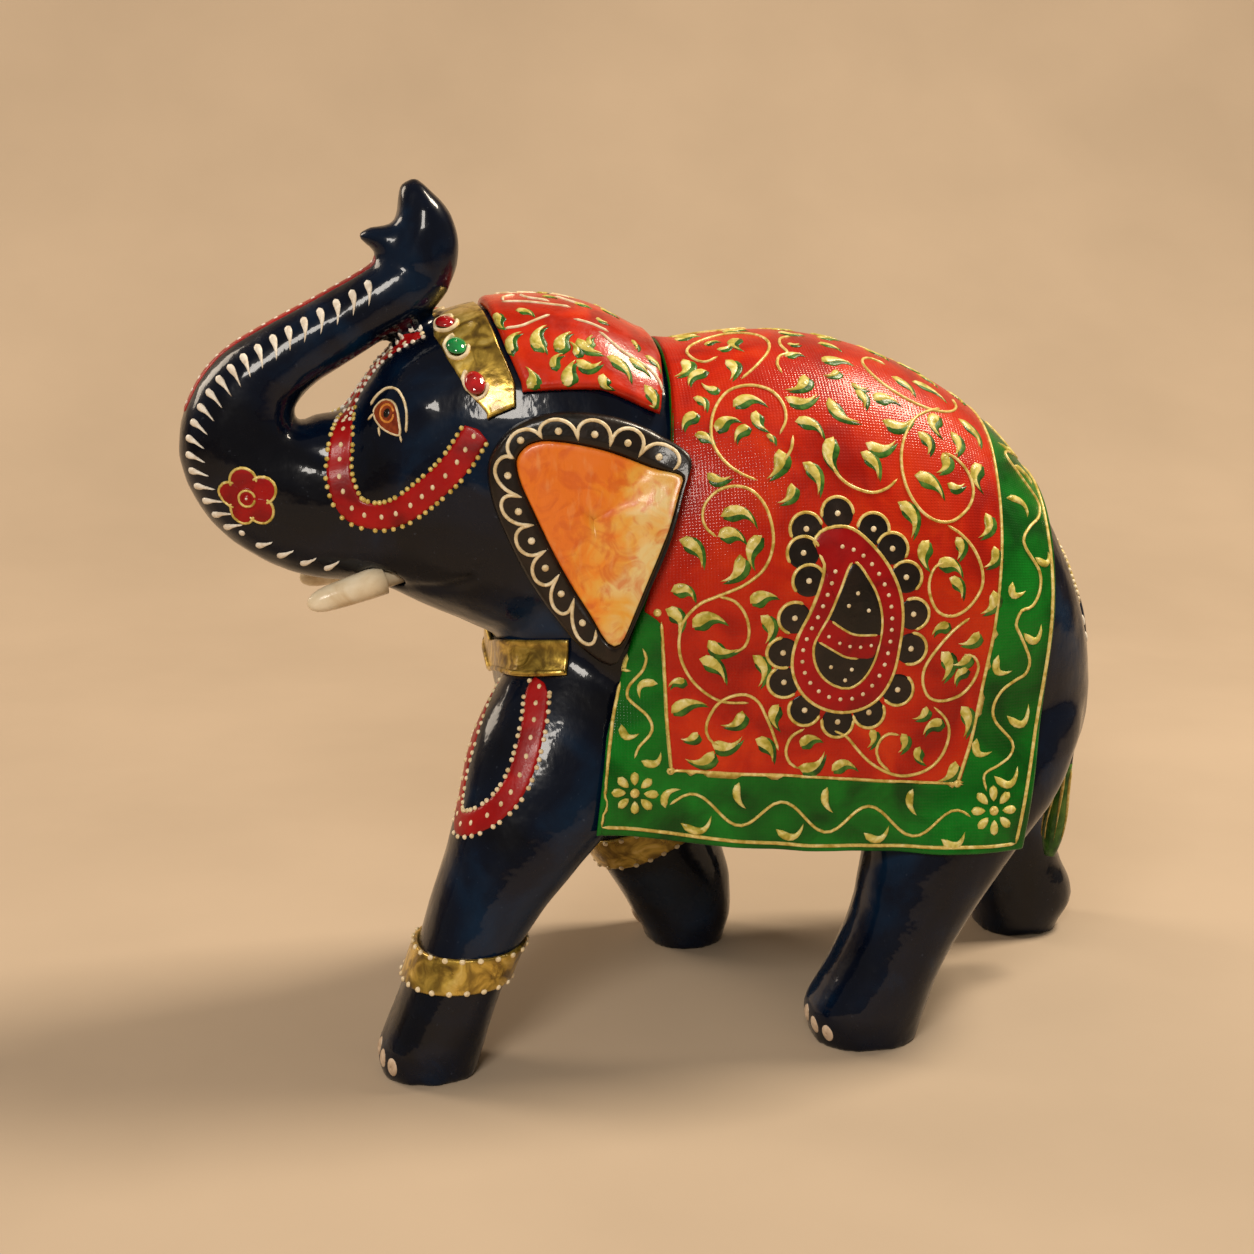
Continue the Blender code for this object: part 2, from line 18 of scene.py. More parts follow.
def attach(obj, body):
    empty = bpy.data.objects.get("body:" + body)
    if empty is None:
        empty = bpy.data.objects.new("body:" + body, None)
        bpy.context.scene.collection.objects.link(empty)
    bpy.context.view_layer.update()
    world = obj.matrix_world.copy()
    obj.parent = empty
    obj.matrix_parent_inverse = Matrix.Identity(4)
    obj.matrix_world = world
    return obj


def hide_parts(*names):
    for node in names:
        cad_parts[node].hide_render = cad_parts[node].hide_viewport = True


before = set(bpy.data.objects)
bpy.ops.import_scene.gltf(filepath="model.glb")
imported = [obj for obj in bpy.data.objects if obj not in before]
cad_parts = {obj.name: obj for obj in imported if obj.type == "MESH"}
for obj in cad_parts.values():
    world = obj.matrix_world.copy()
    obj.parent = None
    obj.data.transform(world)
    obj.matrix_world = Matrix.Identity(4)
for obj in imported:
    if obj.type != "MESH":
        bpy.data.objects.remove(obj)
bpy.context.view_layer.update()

MM = 0.001
ORIGIN = np.array([0.85, -1.3, 1.5])    # where the drawing frame's zero lies in the row frame
SIDES = (("left", -1), ("right", 1))
random.seed(7)

# ---------------------------------------------------------------- camera, floor and light
CAMERA_AT = (-119.15, -555.8, 230.1)
CAMERA_AZIMUTH, CAMERA_PITCH = 11, 13.5     # degrees
SENSOR_WIDTH, LENS = 36, 68.9
LIGHT_TARGET = (0, 0, 0.09)                 # metres, as are the places and sizes of the lights and the floor
FLOOR_HALF_WIDTH, FLOOR_FRONT, SWEEP_START, SWEEP_RADIUS, BACKDROP_TOP = 3, -2.5, 0.35, 0.5, 2.5
SWEEP_STEPS = 12


def make_camera():
    """Camera before the left side, a little in front of the head and above the back."""
    data = bpy.data.cameras.new("camera")
    data.sensor_width = SENSOR_WIDTH
    data.lens = LENS
    camera = bpy.data.objects.new("camera", data)
    camera.location = Vector(CAMERA_AT) * MM
    camera.rotation_euler = (math.radians(90 - CAMERA_PITCH), 0, -math.radians(CAMERA_AZIMUTH))
    bpy.context.scene.collection.objects.link(camera)
    bpy.context.scene.camera = camera


def area_light(name, at, size, power, color):
    """Softbox aimed at the middle of the figure."""
    data = bpy.data.lights.new(name, "AREA")
    data.shape = "RECTANGLE"
    data.size, data.size_y = size
    data.energy = power
    data.color = color
    light = bpy.data.objects.new(name, data)
    light.location = at
    aim = Vector(LIGHT_TARGET) - Vector(at)
    light.rotation_euler = aim.to_track_quat("-Z", "Y").to_euler()
    bpy.context.scene.collection.objects.link(light)


def make_studio():
    """Pale floor that sweeps up into a backdrop, a warm sky and three softboxes."""
    bm = bmesh.new()
    profile = [(FLOOR_FRONT, 0), (SWEEP_START, 0)]
    for step in range(1, SWEEP_STEPS + 1):
        angle = math.pi / 2 * step / SWEEP_STEPS
        profile.append((SWEEP_START + SWEEP_RADIUS * math.sin(angle), SWEEP_RADIUS * (1 - math.cos(angle))))
    profile.append((SWEEP_START + SWEEP_RADIUS, BACKDROP_TOP))
    rows = [[bm.verts.new((x, y, z)) for y, z in profile] for x in (-FLOOR_HALF_WIDTH, FLOOR_HALF_WIDTH)]
    for i in range(len(profile) - 1):
        bm.faces.new((rows[0][i], rows[1][i], rows[1][i + 1], rows[0][i + 1]))
    mesh = bpy.data.meshes.new("studio_floor")
    bm.to_mesh(mesh)
    bm.free()
    mesh.shade_smooth()
    floor = bpy.data.objects.new("studio_floor", mesh)
    bpy.context.scene.collection.objects.link(floor)
    shade = Shade("pale_floor", roughness=0.8)
    shade.color(shade.ramp(shade.noise(9, 4), ((0.3, (0.43, 0.335, 0.24)), (0.7, (0.48, 0.375, 0.27)))))
    mesh.materials.append(shade.material)
    world = bpy.data.worlds.new("warm_room")
    world.use_nodes = True
    sky = world.node_tree.nodes["Background"]
    sky.inputs["Color"].default_value = (1.0, 0.84, 0.66, 1)
    sky.inputs["Strength"].default_value = 0.2
    bpy.context.scene.world = world
    bpy.context.scene.view_settings.view_transform = "Standard"
    area_light("key", (0.6, 0.1, 0.95), (0.3, 0.3), 13, (1, 0.86, 0.68))
    area_light("front", (-0.35, -0.85, 0.7), (0.32, 0.28), 6.5, (1, 0.93, 0.84))
    area_light("rim", (-0.7, 0.5, 0.6), (0.3, 0.5), 4, (1, 0.85, 0.68))


# ---------------------------------------------------------------- materials
class Shade:
    """One painted material, made of noise at several scales."""

    def __init__(self, name, roughness=0.4, coat=0.0, coat_roughness=0.1, metallic=0.0):
        self.material = bpy.data.materials.new(name)
        self.material.use_nodes = True
        self.tree = self.material.node_tree
        self.shader = self.tree.nodes["Principled BSDF"]
        self.shader.inputs["Roughness"].default_value = roughness
        self.shader.inputs["Coat Weight"].default_value = coat
        self.shader.inputs["Coat Roughness"].default_value = coat_roughness
        self.shader.inputs["Metallic"].default_value = metallic
        self.coords = self.node("TexCoord").outputs["Object"]

    def node(self, kind, **values):
        made = self.tree.nodes.new("ShaderNode" + kind)
        for key, value in values.items():
            setattr(made, key, value)
        return made

    def link(self, output, socket):
        self.tree.links.new(output, socket)

    def noise(self, scale, detail=3, distortion=0.0, stretch=None):
        """Noise with about scale features per metre."""
        made = self.node("TexNoise")
        made.inputs["Scale"].default_value = scale
        made.inputs["Detail"].default_value = detail
        made.inputs["Distortion"].default_value = distortion
        coords = self.coords
        if stretch:
            mapping = self.node("Mapping")
            mapping.inputs["Scale"].default_value = stretch
            self.link(coords, mapping.inputs["Vector"])
            coords = mapping.outputs["Vector"]
        self.link(coords, made.inputs["Vector"])
        return made.outputs["Fac"]

    def ramp(self, fac, stops):
        made = self.node("ValToRGB")
        elements = made.color_ramp.elements
        while len(elements) < len(stops):
            elements.new(0.5)
        for element, (at, color) in zip(elements, stops):
            element.position = at
            element.color = (*color, 1)
        self.link(fac, made.inputs["Fac"])
        return made.outputs["Color"]

    def grey(self, fac, low, high, at=(0.3, 0.7)):
        """Stretch a noise between two plain values."""
        made = self.node("MapRange")
        made.inputs["From Min"].default_value, made.inputs["From Max"].default_value = at
        made.inputs["To Min"].default_value, made.inputs["To Max"].default_value = low, high
        self.link(fac, made.inputs["Value"])
        return made.outputs["Result"]

    def math(self, operation, a, b):
        made = self.node("Math", operation=operation)
        for socket, value in zip(made.inputs, (a, b)):
            if isinstance(value, (int, float)):
                socket.default_value = value
            else:
                self.link(value, socket)
        return made.outputs["Value"]

    def mix(self, fac, a, b, blend="MIX"):
        made = self.node("Mix", data_type="RGBA", blend_type=blend)
        for socket, value in zip((made.inputs[0], made.inputs[6], made.inputs[7]), (fac, a, b)):
            if isinstance(value, (int, float)):
                socket.default_value = value
            elif isinstance(value, tuple):
                socket.default_value = (*value, 1)
            else:
                self.link(value, socket)
        return made.outputs[2]

    def color(self, output):
        self.link(output, self.shader.inputs["Base Color"])

    def roughness(self, output):
        self.link(output, self.shader.inputs["Roughness"])

    def bump(self, *layers):
        """Chain of bumps; each layer is a height output and its depth in millimetres."""
        normal = None
        for height, depth in layers:
            made = self.node("Bump")
            made.inputs["Strength"].default_value = 1
            made.inputs["Distance"].default_value = depth * MM
            self.link(height, made.inputs["Height"])
            if normal:
                self.link(normal, made.inputs["Normal"])
            normal = made.outputs["Normal"]
        for socket in ("Normal", "Coat Normal"):
            self.link(normal, self.shader.inputs[socket])


def lacquer():
    """Blue-black gloss lacquer over hand-smoothed wood."""
    shade = Shade("blue_black_lacquer", coat=0.5, coat_roughness=0.07)
    shade.shader.inputs["Specular IOR Level"].default_value = 0.08
    clouds = shade.ramp(shade.noise(38, 5, 0.6), (
        (0.36, (0.0008, 0.0016, 0.005)), (0.54, (0.001, 0.004, 0.014)), (0.70, (0.002, 0.016, 0.045))))
    specks = shade.ramp(shade.noise(900, 2), ((0.70, (0, 0, 0)), (0.78, (0.05, 0.06, 0.08))))
    shade.color(shade.mix(0.35, clouds, specks, "ADD"))
    shade.roughness(shade.grey(shade.noise(160, 4), 0.2, 0.36))
    shade.bump((shade.noise(110, 3), 0.3), (shade.noise(700, 2, 0, (1, 1, 0.25)), 0.035))
    return shade.material


def paint(name, dark, middle, light, roughness=0.38, coat=0.35, blotch=90, grain=0.05, metallic=0.0):
    """Opaque hand-brushed paint with blotches and a fine brush grain."""
    shade = Shade(name, coat=0.6 * coat, coat_roughness=0.12, metallic=metallic)
    shade.shader.inputs["Specular IOR Level"].default_value = 0.25
    shade.color(shade.ramp(shade.noise(blotch, 6, 0.8), ((0.34, dark), (0.52, middle), (0.70, light))))
    shade.roughness(shade.grey(shade.noise(300, 3), roughness - 0.09, roughness + 0.12))
    shade.bump((shade.noise(blotch * 2.5, 3), 2.5 * grain), (shade.noise(1400, 2), grain))
    return shade.material


def canvas_paint(name, dark, middle, light, weave_mm=0.75):
    """Paint on coarse canvas: the threads show through as a fine relief."""
    shade = Shade(name, coat=0.35, coat_roughness=0.08)
    shade.shader.inputs["Specular IOR Level"].default_value = 0.12
    threads = shade.node("Attribute", attribute_name="threads").outputs["Vector"]
    shade.color(shade.mix(
        shade.grey(shade.noise(420, 3), 0, 0.22),
        shade.ramp(shade.noise(55, 6, 0.9), ((0.33, dark), (0.5, middle), (0.68, light))), dark))
    shade.roughness(shade.grey(shade.noise(220, 4), 0.26, 0.5))
    waves = []
    for direction in ("X", "Y"):
        wave = shade.node("TexWave", bands_direction=direction)
        wave.inputs["Scale"].default_value = math.pi / (10 * weave_mm * MM)
        wave.inputs["Distortion"].default_value = 1.6
        wave.inputs["Detail Scale"].default_value = 0.4
        shade.link(threads, wave.inputs["Vector"])
        waves.append(wave.outputs["Fac"])
    weave = shade.math("MULTIPLY", *waves)
    shade.bump((shade.noise(75, 4), 0.3), (weave, 0.045), (shade.noise(2500, 2), 0.03))
    return shade.material


def gilt_paint():
    """Mottled gold paint on the bands."""
    shade = Shade("mottled_gilt", metallic=0.75, coat=0.5, coat_roughness=0.15)
    shade.color(shade.ramp(shade.noise(190, 7, 1.2), (
        (0.30, (0.10, 0.055, 0.008)), (0.45, (0.30, 0.19, 0.025)),
        (0.58, (0.62, 0.42, 0.07)), (0.74, (0.86, 0.66, 0.20)))))
    shade.roughness(shade.grey(shade.noise(260, 4), 0.24, 0.5))
    shade.bump((shade.noise(170, 4), 0.35), (shade.noise(900, 2), 0.05))
    return shade.material


def ear_paint():
    """Orange brushed out to cream towards the lower and rear edges."""
    shade = Shade("brushed_orange", coat=0.45, coat_roughness=0.18)
    split = shade.node("SeparateXYZ")
    shade.link(shade.coords, split.inputs["Vector"])
    from_rear = shade.math("SUBTRACT", shade.math("MULTIPLY", split.outputs["X"], 912),
                           shade.math("MULTIPLY", split.outputs["Z"], 410))
    along = shade.math("ADD", shade.math("MULTIPLY", from_rear, 1 / 20), 4.0)
    below = shade.math("MULTIPLY", shade.math("SUBTRACT", 0.117, split.outputs["Z"]), 45)
    spread = shade.math("MULTIPLY", shade.math("ADD", shade.noise(110, 6, 0.9), -0.5), 2.1)
    streaks = shade.noise(420, 4, 0.2, (1, 1, 0.3))
    fade = shade.math("ADD", shade.math("MAXIMUM", along, below), spread)
    base = shade.ramp(shade.grey(fade, 0, 1, (0, 1)), (
        (0.0, (0.84, 0.19, 0.008)), (0.3, (0.88, 0.27, 0.014)),
        (0.6, (0.85, 0.42, 0.06)), (1.0, (0.82, 0.60, 0.24))))
    base = shade.mix(shade.grey(shade.noise(180, 6, 1.4), 0, 0.65, (0.48, 0.64)), base, (0.68, 0.11, 0.006))
    shade.color(shade.mix(shade.grey(streaks, 0, 0.3, (0.55, 0.78)), base, (0.88, 0.58, 0.24)))
    shade.roughness(shade.grey(shade.noise(200, 3), 0.3, 0.5))
    shade.bump((streaks, 0.16), (shade.noise(90, 3), 0.3))
    return shade.material


def glass_stone(name, deep, bright):
    """Polished glass cabochon, a little brighter where light gathers."""
    shade = Shade(name, roughness=0.06, coat=1.0, coat_roughness=0.02)
    shade.color(shade.ramp(shade.noise(350, 2), ((0.3, deep), (0.7, bright))))
    shade.bump((shade.noise(500, 2), 0.02))
    return shade.material


MATERIALS = {
    "lacquer": lacquer(),
    "red": canvas_paint("vermilion_canvas", (0.30, 0.006, 0.001), (0.49, 0.016, 0.002), (0.62, 0.036, 0.003)),
    "green": canvas_paint("green_canvas", (0.0006, 0.050, 0.002), (0.001, 0.125, 0.006),
        (0.003, 0.20, 0.012)),
    "cap_red": paint("vermilion_cap", (0.33, 0.008, 0.001), (0.53, 0.020, 0.002), (0.66, 0.045, 0.004),
        0.3, 0.6),
    "band_red": paint("dark_red", (0.19, 0.001, 0.002), (0.33, 0.002, 0.003), (0.42, 0.004, 0.004), 0.4, 0.2),
    "black": paint("black_paint", (0.004, 0.003, 0.002), (0.010, 0.006, 0.004), (0.022, 0.012, 0.008),
        0.35, 0.5),
    "gold": paint("gold_line", (0.46, 0.32, 0.05), (0.70, 0.53, 0.15), (0.86, 0.72, 0.32),
        0.36, 0.3, 500, 0.03, 0.1),
    "leaf_gold": paint("gold_leaf_stroke", (0.36, 0.30, 0.03), (0.62, 0.52, 0.12), (0.82, 0.73, 0.34),
        0.38, 0.3,
                       420, 0.05),
    "leaf_green": paint("green_leaf_stroke", (0.01, 0.05, 0.004), (0.03, 0.13, 0.01), (0.10, 0.22, 0.03),
        0.4, 0.3, 300),
    "cream": paint("cream_line", (0.62, 0.47, 0.25), (0.80, 0.66, 0.42), (0.90, 0.80, 0.60),
        0.4, 0.3, 400, 0.03),
    "white": paint("white_stroke", (0.70, 0.60, 0.48), (0.84, 0.77, 0.66), (0.92, 0.87, 0.78),
        0.4, 0.3, 400, 0.03),
    "pad_green": paint("green_paint", (0.01, 0.06, 0.006), (0.03, 0.13, 0.012), (0.10, 0.22, 0.03),
        0.4, 0.4, 200),
    "brown": paint("eye_brown", (0.16, 0.02, 0.006), (0.28, 0.05, 0.012), (0.38, 0.08, 0.02), 0.3, 0.5, 300),
    "orange": paint("orange_line", (0.55, 0.16, 0.02), (0.70, 0.26, 0.04), (0.82, 0.36, 0.07),
        0.35, 0.5, 400),
    "ivory": paint("ivory_gloss", (0.66, 0.50, 0.30), (0.78, 0.65, 0.45), (0.86, 0.76, 0.58),
        0.28, 0.6, 120, 0.03),
    "nail": paint("toenail_beige", (0.50, 0.36, 0.24), (0.66, 0.50, 0.36), (0.76, 0.62, 0.48),
        0.38, 0.4, 300),
    "gilt": gilt_paint(),
    "ear": ear_paint(),
    "red_glass": glass_stone("red_glass", (0.25, 0.002, 0.004), (0.48, 0.008, 0.012)),
    "green_glass": glass_stone("green_glass", (0.004, 0.12, 0.03), (0.01, 0.30, 0.07)),
}


# ---------------------------------------------------------------- meshes and surfaces
def points_of(obj):
    """Vertices of an object in the drawing frame."""
    mesh = obj.data
    flat = np.empty(len(mesh.vertices) * 3, np.float32)
    mesh.vertices.foreach_get("co", flat)
    return flat.reshape(-1, 3).astype(float) / MM - ORIGIN


def add_piece(name, points, faces, material, replaces=None, threads=None):
    """Make a mesh piece that rides on the figure."""
    mesh = bpy.data.meshes.new(name)
    mesh.from_pydata(((np.asarray(points) + ORIGIN) * MM).tolist(), [], faces)
    bm = bmesh.new()
    bm.from_mesh(mesh)
    bmesh.ops.recalc_face_normals(bm, faces=bm.faces)
    bm.to_mesh(mesh)
    bm.free()
    mesh.shade_smooth()
    mesh.materials.append(MATERIALS[material])
    if threads is not None:
        layer = mesh.attributes.new("threads", "FLOAT_VECTOR", "POINT")
        layer.data.foreach_set("vector", (np.asarray(threads) * MM).ravel())
    piece = bpy.data.objects.new(name, mesh)
    bpy.context.scene.collection.objects.link(piece)
    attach(piece, "root")
    if replaces:
        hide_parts(replaces)
    return piece


def add_skin(name, low, high, wrap, material, replaces=None, threads=None):
    """Make a piece that is a closed skin between two equal grids of points."""
    points = np.vstack([low.reshape(-1, 3), high.reshape(-1, 3)])
    faces = shell_faces(*low.shape[:2], wrap).tolist()
    if threads is not None:
        threads = np.vstack([threads.reshape(-1, 3)] * 2)
    return add_piece(name, points, faces, material, replaces, threads)


class Surface:
    """Finds the nearest place on the outside of some pieces."""

    def __init__(self, *objects):
        points, faces = [], []
        for obj in objects:
            start = len(points)
            points += [tuple(p) for p in points_of(obj)]
            faces += [[start + v for v in polygon.vertices] for polygon in obj.data.polygons]
        self.tree = BVHTree.FromPolygons(points, faces)

    def settle(self, seeds):
        """Nearest points and outward normals, on the topmost coat."""
        found = [self.tree.find_nearest(Vector(seed)) for seed in seeds]
        found = [self.tree.find_nearest(spot + normal * 0.8) for spot, normal, *_ in found]
        return np.array([f[0] for f in found]), np.array([f[1] for f in found])

    def reach(self, base, outward, start=130.0):
        """Distance from base to the outside of the pieces along outward, or None."""
        base, outward = Vector(base), Vector(outward)
        hit = self.tree.ray_cast(base + outward * start, -outward)[0]
        return None if hit is None else (hit - base).dot(outward)


def look_up(table, value):
    """Straight-line reading of a two-column table."""
    keys, values = zip(*table)
    return np.interp(value, keys, values)


def curve(path, step, closed=False):
    """Catmull-Rom curve through points of any dimension, about step apart."""
    path = np.array(path, float)
    if closed:
        padded = np.vstack([path[-1:], path, path[:2]])
    else:
        padded = np.vstack([2 * path[0] - path[1], path, 2 * path[-1] - path[-2]])
    made = []
    for i in range(1, len(padded) - 2):
        before, start, end, after = padded[i - 1:i + 3]
        count = max(1, int(np.linalg.norm(end - start) / step))
        for t in np.arange(count) / count:
            made.append(0.5 * (2 * start + (end - before) * t
                               + (2 * before - 5 * start + 4 * end - after) * t ** 2
                               + (3 * start - before - 3 * end + after) * t ** 3))
    if not closed:
        made.append(path[-1])
    return np.array(made)


def looped(path):
    """A path whose first point is repeated at its end."""
    return np.vstack([path, path[:1]])


def unit(vectors):
    """Vectors of length one."""
    return vectors / np.maximum(np.linalg.norm(vectors, axis=-1, keepdims=True), 1e-9)


def arc_length(points):
    """Distance along a path at each of its points."""
    return np.concatenate([[0], np.cumsum(np.linalg.norm(np.diff(points, axis=0), axis=1))])


def rim_spacing(count, length, rim):
    """Shares from 0 to 1 with extra lines close to both edges, for a rounded rim."""
    edge = np.array([0, 0.06, 0.2, 0.45, 0.75]) * rim / length
    inside = np.linspace(rim / length, 1 - rim / length, count)
    return np.concatenate([edge, inside, 1 - edge[::-1]])


def rim_profile(distance, rim):
    """Share of the full thickness at a distance from the rim."""
    share = 1 - np.clip(distance / rim, 0, 1)
    return np.maximum(np.sqrt(np.maximum(1 - share ** 2, 0)), 0.12)


def shell_faces(rows, columns, wrap=False):
    """Faces of a closed shell between two equal grids of points, one grid after the other."""
    low = np.arange(rows * columns).reshape(rows, columns)
    if wrap:
        low = looped(low)
    high = low + rows * columns
    faces = [(low[:-1, :-1], low[:-1, 1:], low[1:, 1:], low[1:, :-1]),
             (high[:-1, :-1], high[1:, :-1], high[1:, 1:], high[:-1, 1:])]
    edges = [(low[:, k], high[:, k]) for k in (0, -1)]
    if not wrap:
        edges += [(low[k], high[k]) for k in (0, -1)]
    faces += [(under[:-1], under[1:], over[1:], over[:-1]) for under, over in edges]
    return np.vstack([np.stack(corners, axis=-1).reshape(-1, 4) for corners in faces])


def even_out(values, passes, wrap=False):
    """Soften a grid of numbers, edges along themselves only."""
    for _ in range(passes):
        padded = np.pad(values, ((1, 1), (0, 0)), mode="wrap" if wrap else "edge")
        values = (padded[:-2] + 2 * values + padded[2:]) / 4
        padded = np.pad(values, ((0, 0), (1, 1)), mode="edge")
        values = (padded[:, :-2] + 2 * values + padded[:, 2:]) / 4
    return values


class Wrap:
    """A sheet laid over a CAD node: a grid of outer points over rows and columns of a chart."""

    def __init__(self, node, base_at, rows, columns, smoothing, wrap=False):
        """base_at(row, column) gives a place inside the node and the direction out of it."""
        self.node, self.rows, self.columns, self.wrap = node, rows, columns, wrap
        host = Surface(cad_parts[node])
        bases = [[base_at(row, column) for column in columns] for row in rows]
        reaches = np.array([[host.reach(*spot) or np.nan for spot in line] for line in bases])
        for line in (*reaches, *reaches.T):
            known = ~np.isnan(line)
            if known.any():
                line[:] = np.interp(np.arange(len(line)), np.flatnonzero(known), line[known])
        base, self.outward = np.moveaxis(np.array(bases, float), 2, 0)
        self.outer = base + self.outward * even_out(reaches, smoothing, wrap)[..., None]
        self.normal = unit(np.cross(np.gradient(self.outer, axis=0), np.gradient(self.outer, axis=1)))
        if (self.normal * self.outward).sum() < 0:
            self.normal = -self.normal
        self.s = arc_length(self.outer[:, len(columns) // 2])
        self.s -= np.interp(0.5, rows, self.s)

    def place(self, path):
        """Points on the outside for design coordinates (x, s)."""
        path = np.asarray(path, float)
        row = np.clip(np.interp(path[:, 1], self.s, np.arange(len(self.s))), 0, len(self.s) - 1.001)
        spots = []
        for (x, _), k in zip(path, row):
            i, f = int(k), k - int(k)
            low, high = (np.array([np.interp(x, line[:, 0], line[:, axis]) for axis in range(3)])
                         for line in self.outer[i:i + 2])
            spots.append(low * (1 - f) + high * f)
        return np.array(spots)

    def on_side(self, side):
        """place for one flank; designs are written for the left one, with s counted as positive."""
        return lambda path: self.place(np.asarray(path, float) * (1, side))

    def shell(self, name, thickness, rim, size, material, threads=None):
        """Closed sheet with rounded rims whose outside is the CAD node's; size is its length and width."""
        length, width = size
        profile = rim_profile(np.minimum(self.columns, 1 - self.columns) * width, rim)[None, :]
        if not self.wrap:
            profile = profile * rim_profile(np.minimum(self.rows, 1 - self.rows) * length, rim)[:, None]
        middle = self.outer - self.normal * thickness / 2
        half = self.normal * (thickness / 2 * profile)[..., None]
        return add_skin(name, middle - half, middle + half, self.wrap, material, self.node, threads)


# ---------------------------------------------------------------- the carved block
SKIN_VOXEL, SKIN_PASSES = 1.2, 11
WAVE_LONG, WAVE_SHORT, WAVE_HEIGHT = 17, 6, 0.16     # the unevenness of a hand-cut surface
SHRINK, SWELL = 0.6, -0.615


def soften(points, edges, passes):
    """Taubin smoothing: rounds facets off without shrinking thin parts."""
    i, j = edges.T
    count = np.bincount(np.concatenate([i, j]), minlength=len(points))[:, None]
    for step in range(2 * passes):
        total = np.stack([np.bincount(i, at[j], len(at)) + np.bincount(j, at[i], len(at))
                          for at in points.T], axis=1)
        points = points + (SWELL if step % 2 else SHRINK) * (total / count - points)
    return points


def press(points, normals, path, depth, radius):
    """Sink (or raise, with a negative depth) the skin along a path."""
    path = np.array(path, float)
    start, end = path[:-1], path[1:]
    along = end - start
    share = ((points[:, None] - start) * along).sum(2) / (along ** 2).sum(1)
    nearest = start + np.clip(share, 0, 1)[..., None] * along
    distance = np.linalg.norm(points[:, None] - nearest, axis=2).min(1)
    return points - normals * (depth * np.exp(-(distance / radius) ** 2))[:, None]


def mirrored(path, side):
    """A path of the left side, or its mirror image for the right side."""
    return [(x, y * -side, z) for x, y, z in path]


def carve_block():
    """The wooden block with the CAD's facets rounded off and the carver's small forms added."""
    block = bpy.data.objects.new("block_source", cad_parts["body"].data.copy())
    bpy.context.scene.collection.objects.link(block)
    remesh = block.modifiers.new("skin", "REMESH")
    remesh.mode = "VOXEL"
    remesh.voxel_size = SKIN_VOXEL * MM
    depsgraph = bpy.context.evaluated_depsgraph_get()
    block.data = bpy.data.meshes.new_from_object(block.evaluated_get(depsgraph))
    block.modifiers.clear()
    points = points_of(block)
    edges = np.empty(2 * len(block.data.edges), np.int32)
    block.data.edges.foreach_get("vertices", edges)
    faces = [tuple(p.vertices) for p in block.data.polygons]
    sole = points[:, 2].min()
    points = soften(points, edges.reshape(-1, 2), SKIN_PASSES)
    flat = np.empty(len(points) * 3, np.float32)
    block.data.vertices.foreach_get("normal", flat)
    normals = flat.reshape(-1, 3).astype(float)
    bpy.data.objects.remove(block)
    for _, side in SIDES:
        for path, depth, radius in CARVING:
            points = press(points, normals, mirrored(path, side), depth, radius)
    waves = np.array([noise.noise(Vector(p) / WAVE_LONG) + 0.4 * noise.noise(Vector(p) / WAVE_SHORT)
                      for p in points])
    points += normals * (WAVE_HEIGHT * waves)[:, None]
    points[:, 2] = np.maximum(points[:, 2], sole)
    return add_piece("carved_block", points, faces, "lacquer", "body")


# path on the left side, depth and radius of each small carved form
CARVING = [
    ([(-73, -9, 107.5), (-66, -15, 107), (-58, -20, 108.5), (-52, -23, 112), (-49.5, -25, 116)], 0.9, 1.5),
    ([(-77, -12, 152), (-73, -15.5, 154), (-67, -19, 154.5), (-63, -21.5, 151)], -0.7, 2.6),
    ([(-71.5, -16.5, 148.5), (-68, -18.5, 148.5)], -0.5, 3.2),
    ([(-79, -15, 141), (-84, -14.5, 139), (-88, -13.5, 141)], 0.9, 2.6),
    ([(-68, -8, 182), (-64.5, -9.5, 180.5), (-61, -9.6, 179)], 0.7, 1.5),
    ([(-66, -7, 188), (-64, -8, 192), (-62.5, -6.5, 197)], 0.8, 2.2),
]

# ---------------------------------------------------------------- worn pieces
GIRTH_CENTRE_Z = 100
GIRTH_ARC = 0.6
CLOTH_FRONT = [(0, -6.1), (0.15, -7), (0.3, -9.8), (0.45, -14.4), (0.6, -19), (0.8, -25), (1, -27.5)]
CLOTH_REAR = [(0, 86.5), (0.2, 85.5), (0.4, 84), (0.6, 82.3), (0.8, 78.5), (1, 74)]
CLOTH_HEM = [(-28, 55), (-3, 51), (21, 48.4), (45, 46.8), (76, 45.8)]
CLOTH_THICKNESS = 1.3
CLOTH_RIM = 0.8
CLOTH_SIZE = (280, 108)           # round the girth and along the back, over the outside


def ragged(value, amount):
    """Small hand-cut unevenness."""
    return amount * noise.noise(Vector((value / 9, 3.7, 1.1)))


def girth_base(t, u):
    """Base and outward direction on the saddle cloth; t runs from 0, left hem, to 1, right hem."""
    turn = 2 * t - 1
    share, side = abs(turn), 1 if turn > 0 else -1
    front, rear = look_up(CLOTH_FRONT, share) + 0.15, look_up(CLOTH_REAR, share) - 0.15
    x = front + (rear - front) * u
    if share <= GIRTH_ARC:
        angle = math.pi / 2 * (1 - share / GIRTH_ARC)
        return (x, 0, GIRTH_CENTRE_Z), (0, side * math.cos(angle), math.sin(angle))
    drop = (share - GIRTH_ARC) / (1 - GIRTH_ARC)
    hem = look_up(CLOTH_HEM, x) + 0.2 + ragged(x, 0.3)
    return (x, 0, GIRTH_CENTRE_Z + (hem - GIRTH_CENTRE_Z) * drop), (0, side, 0)


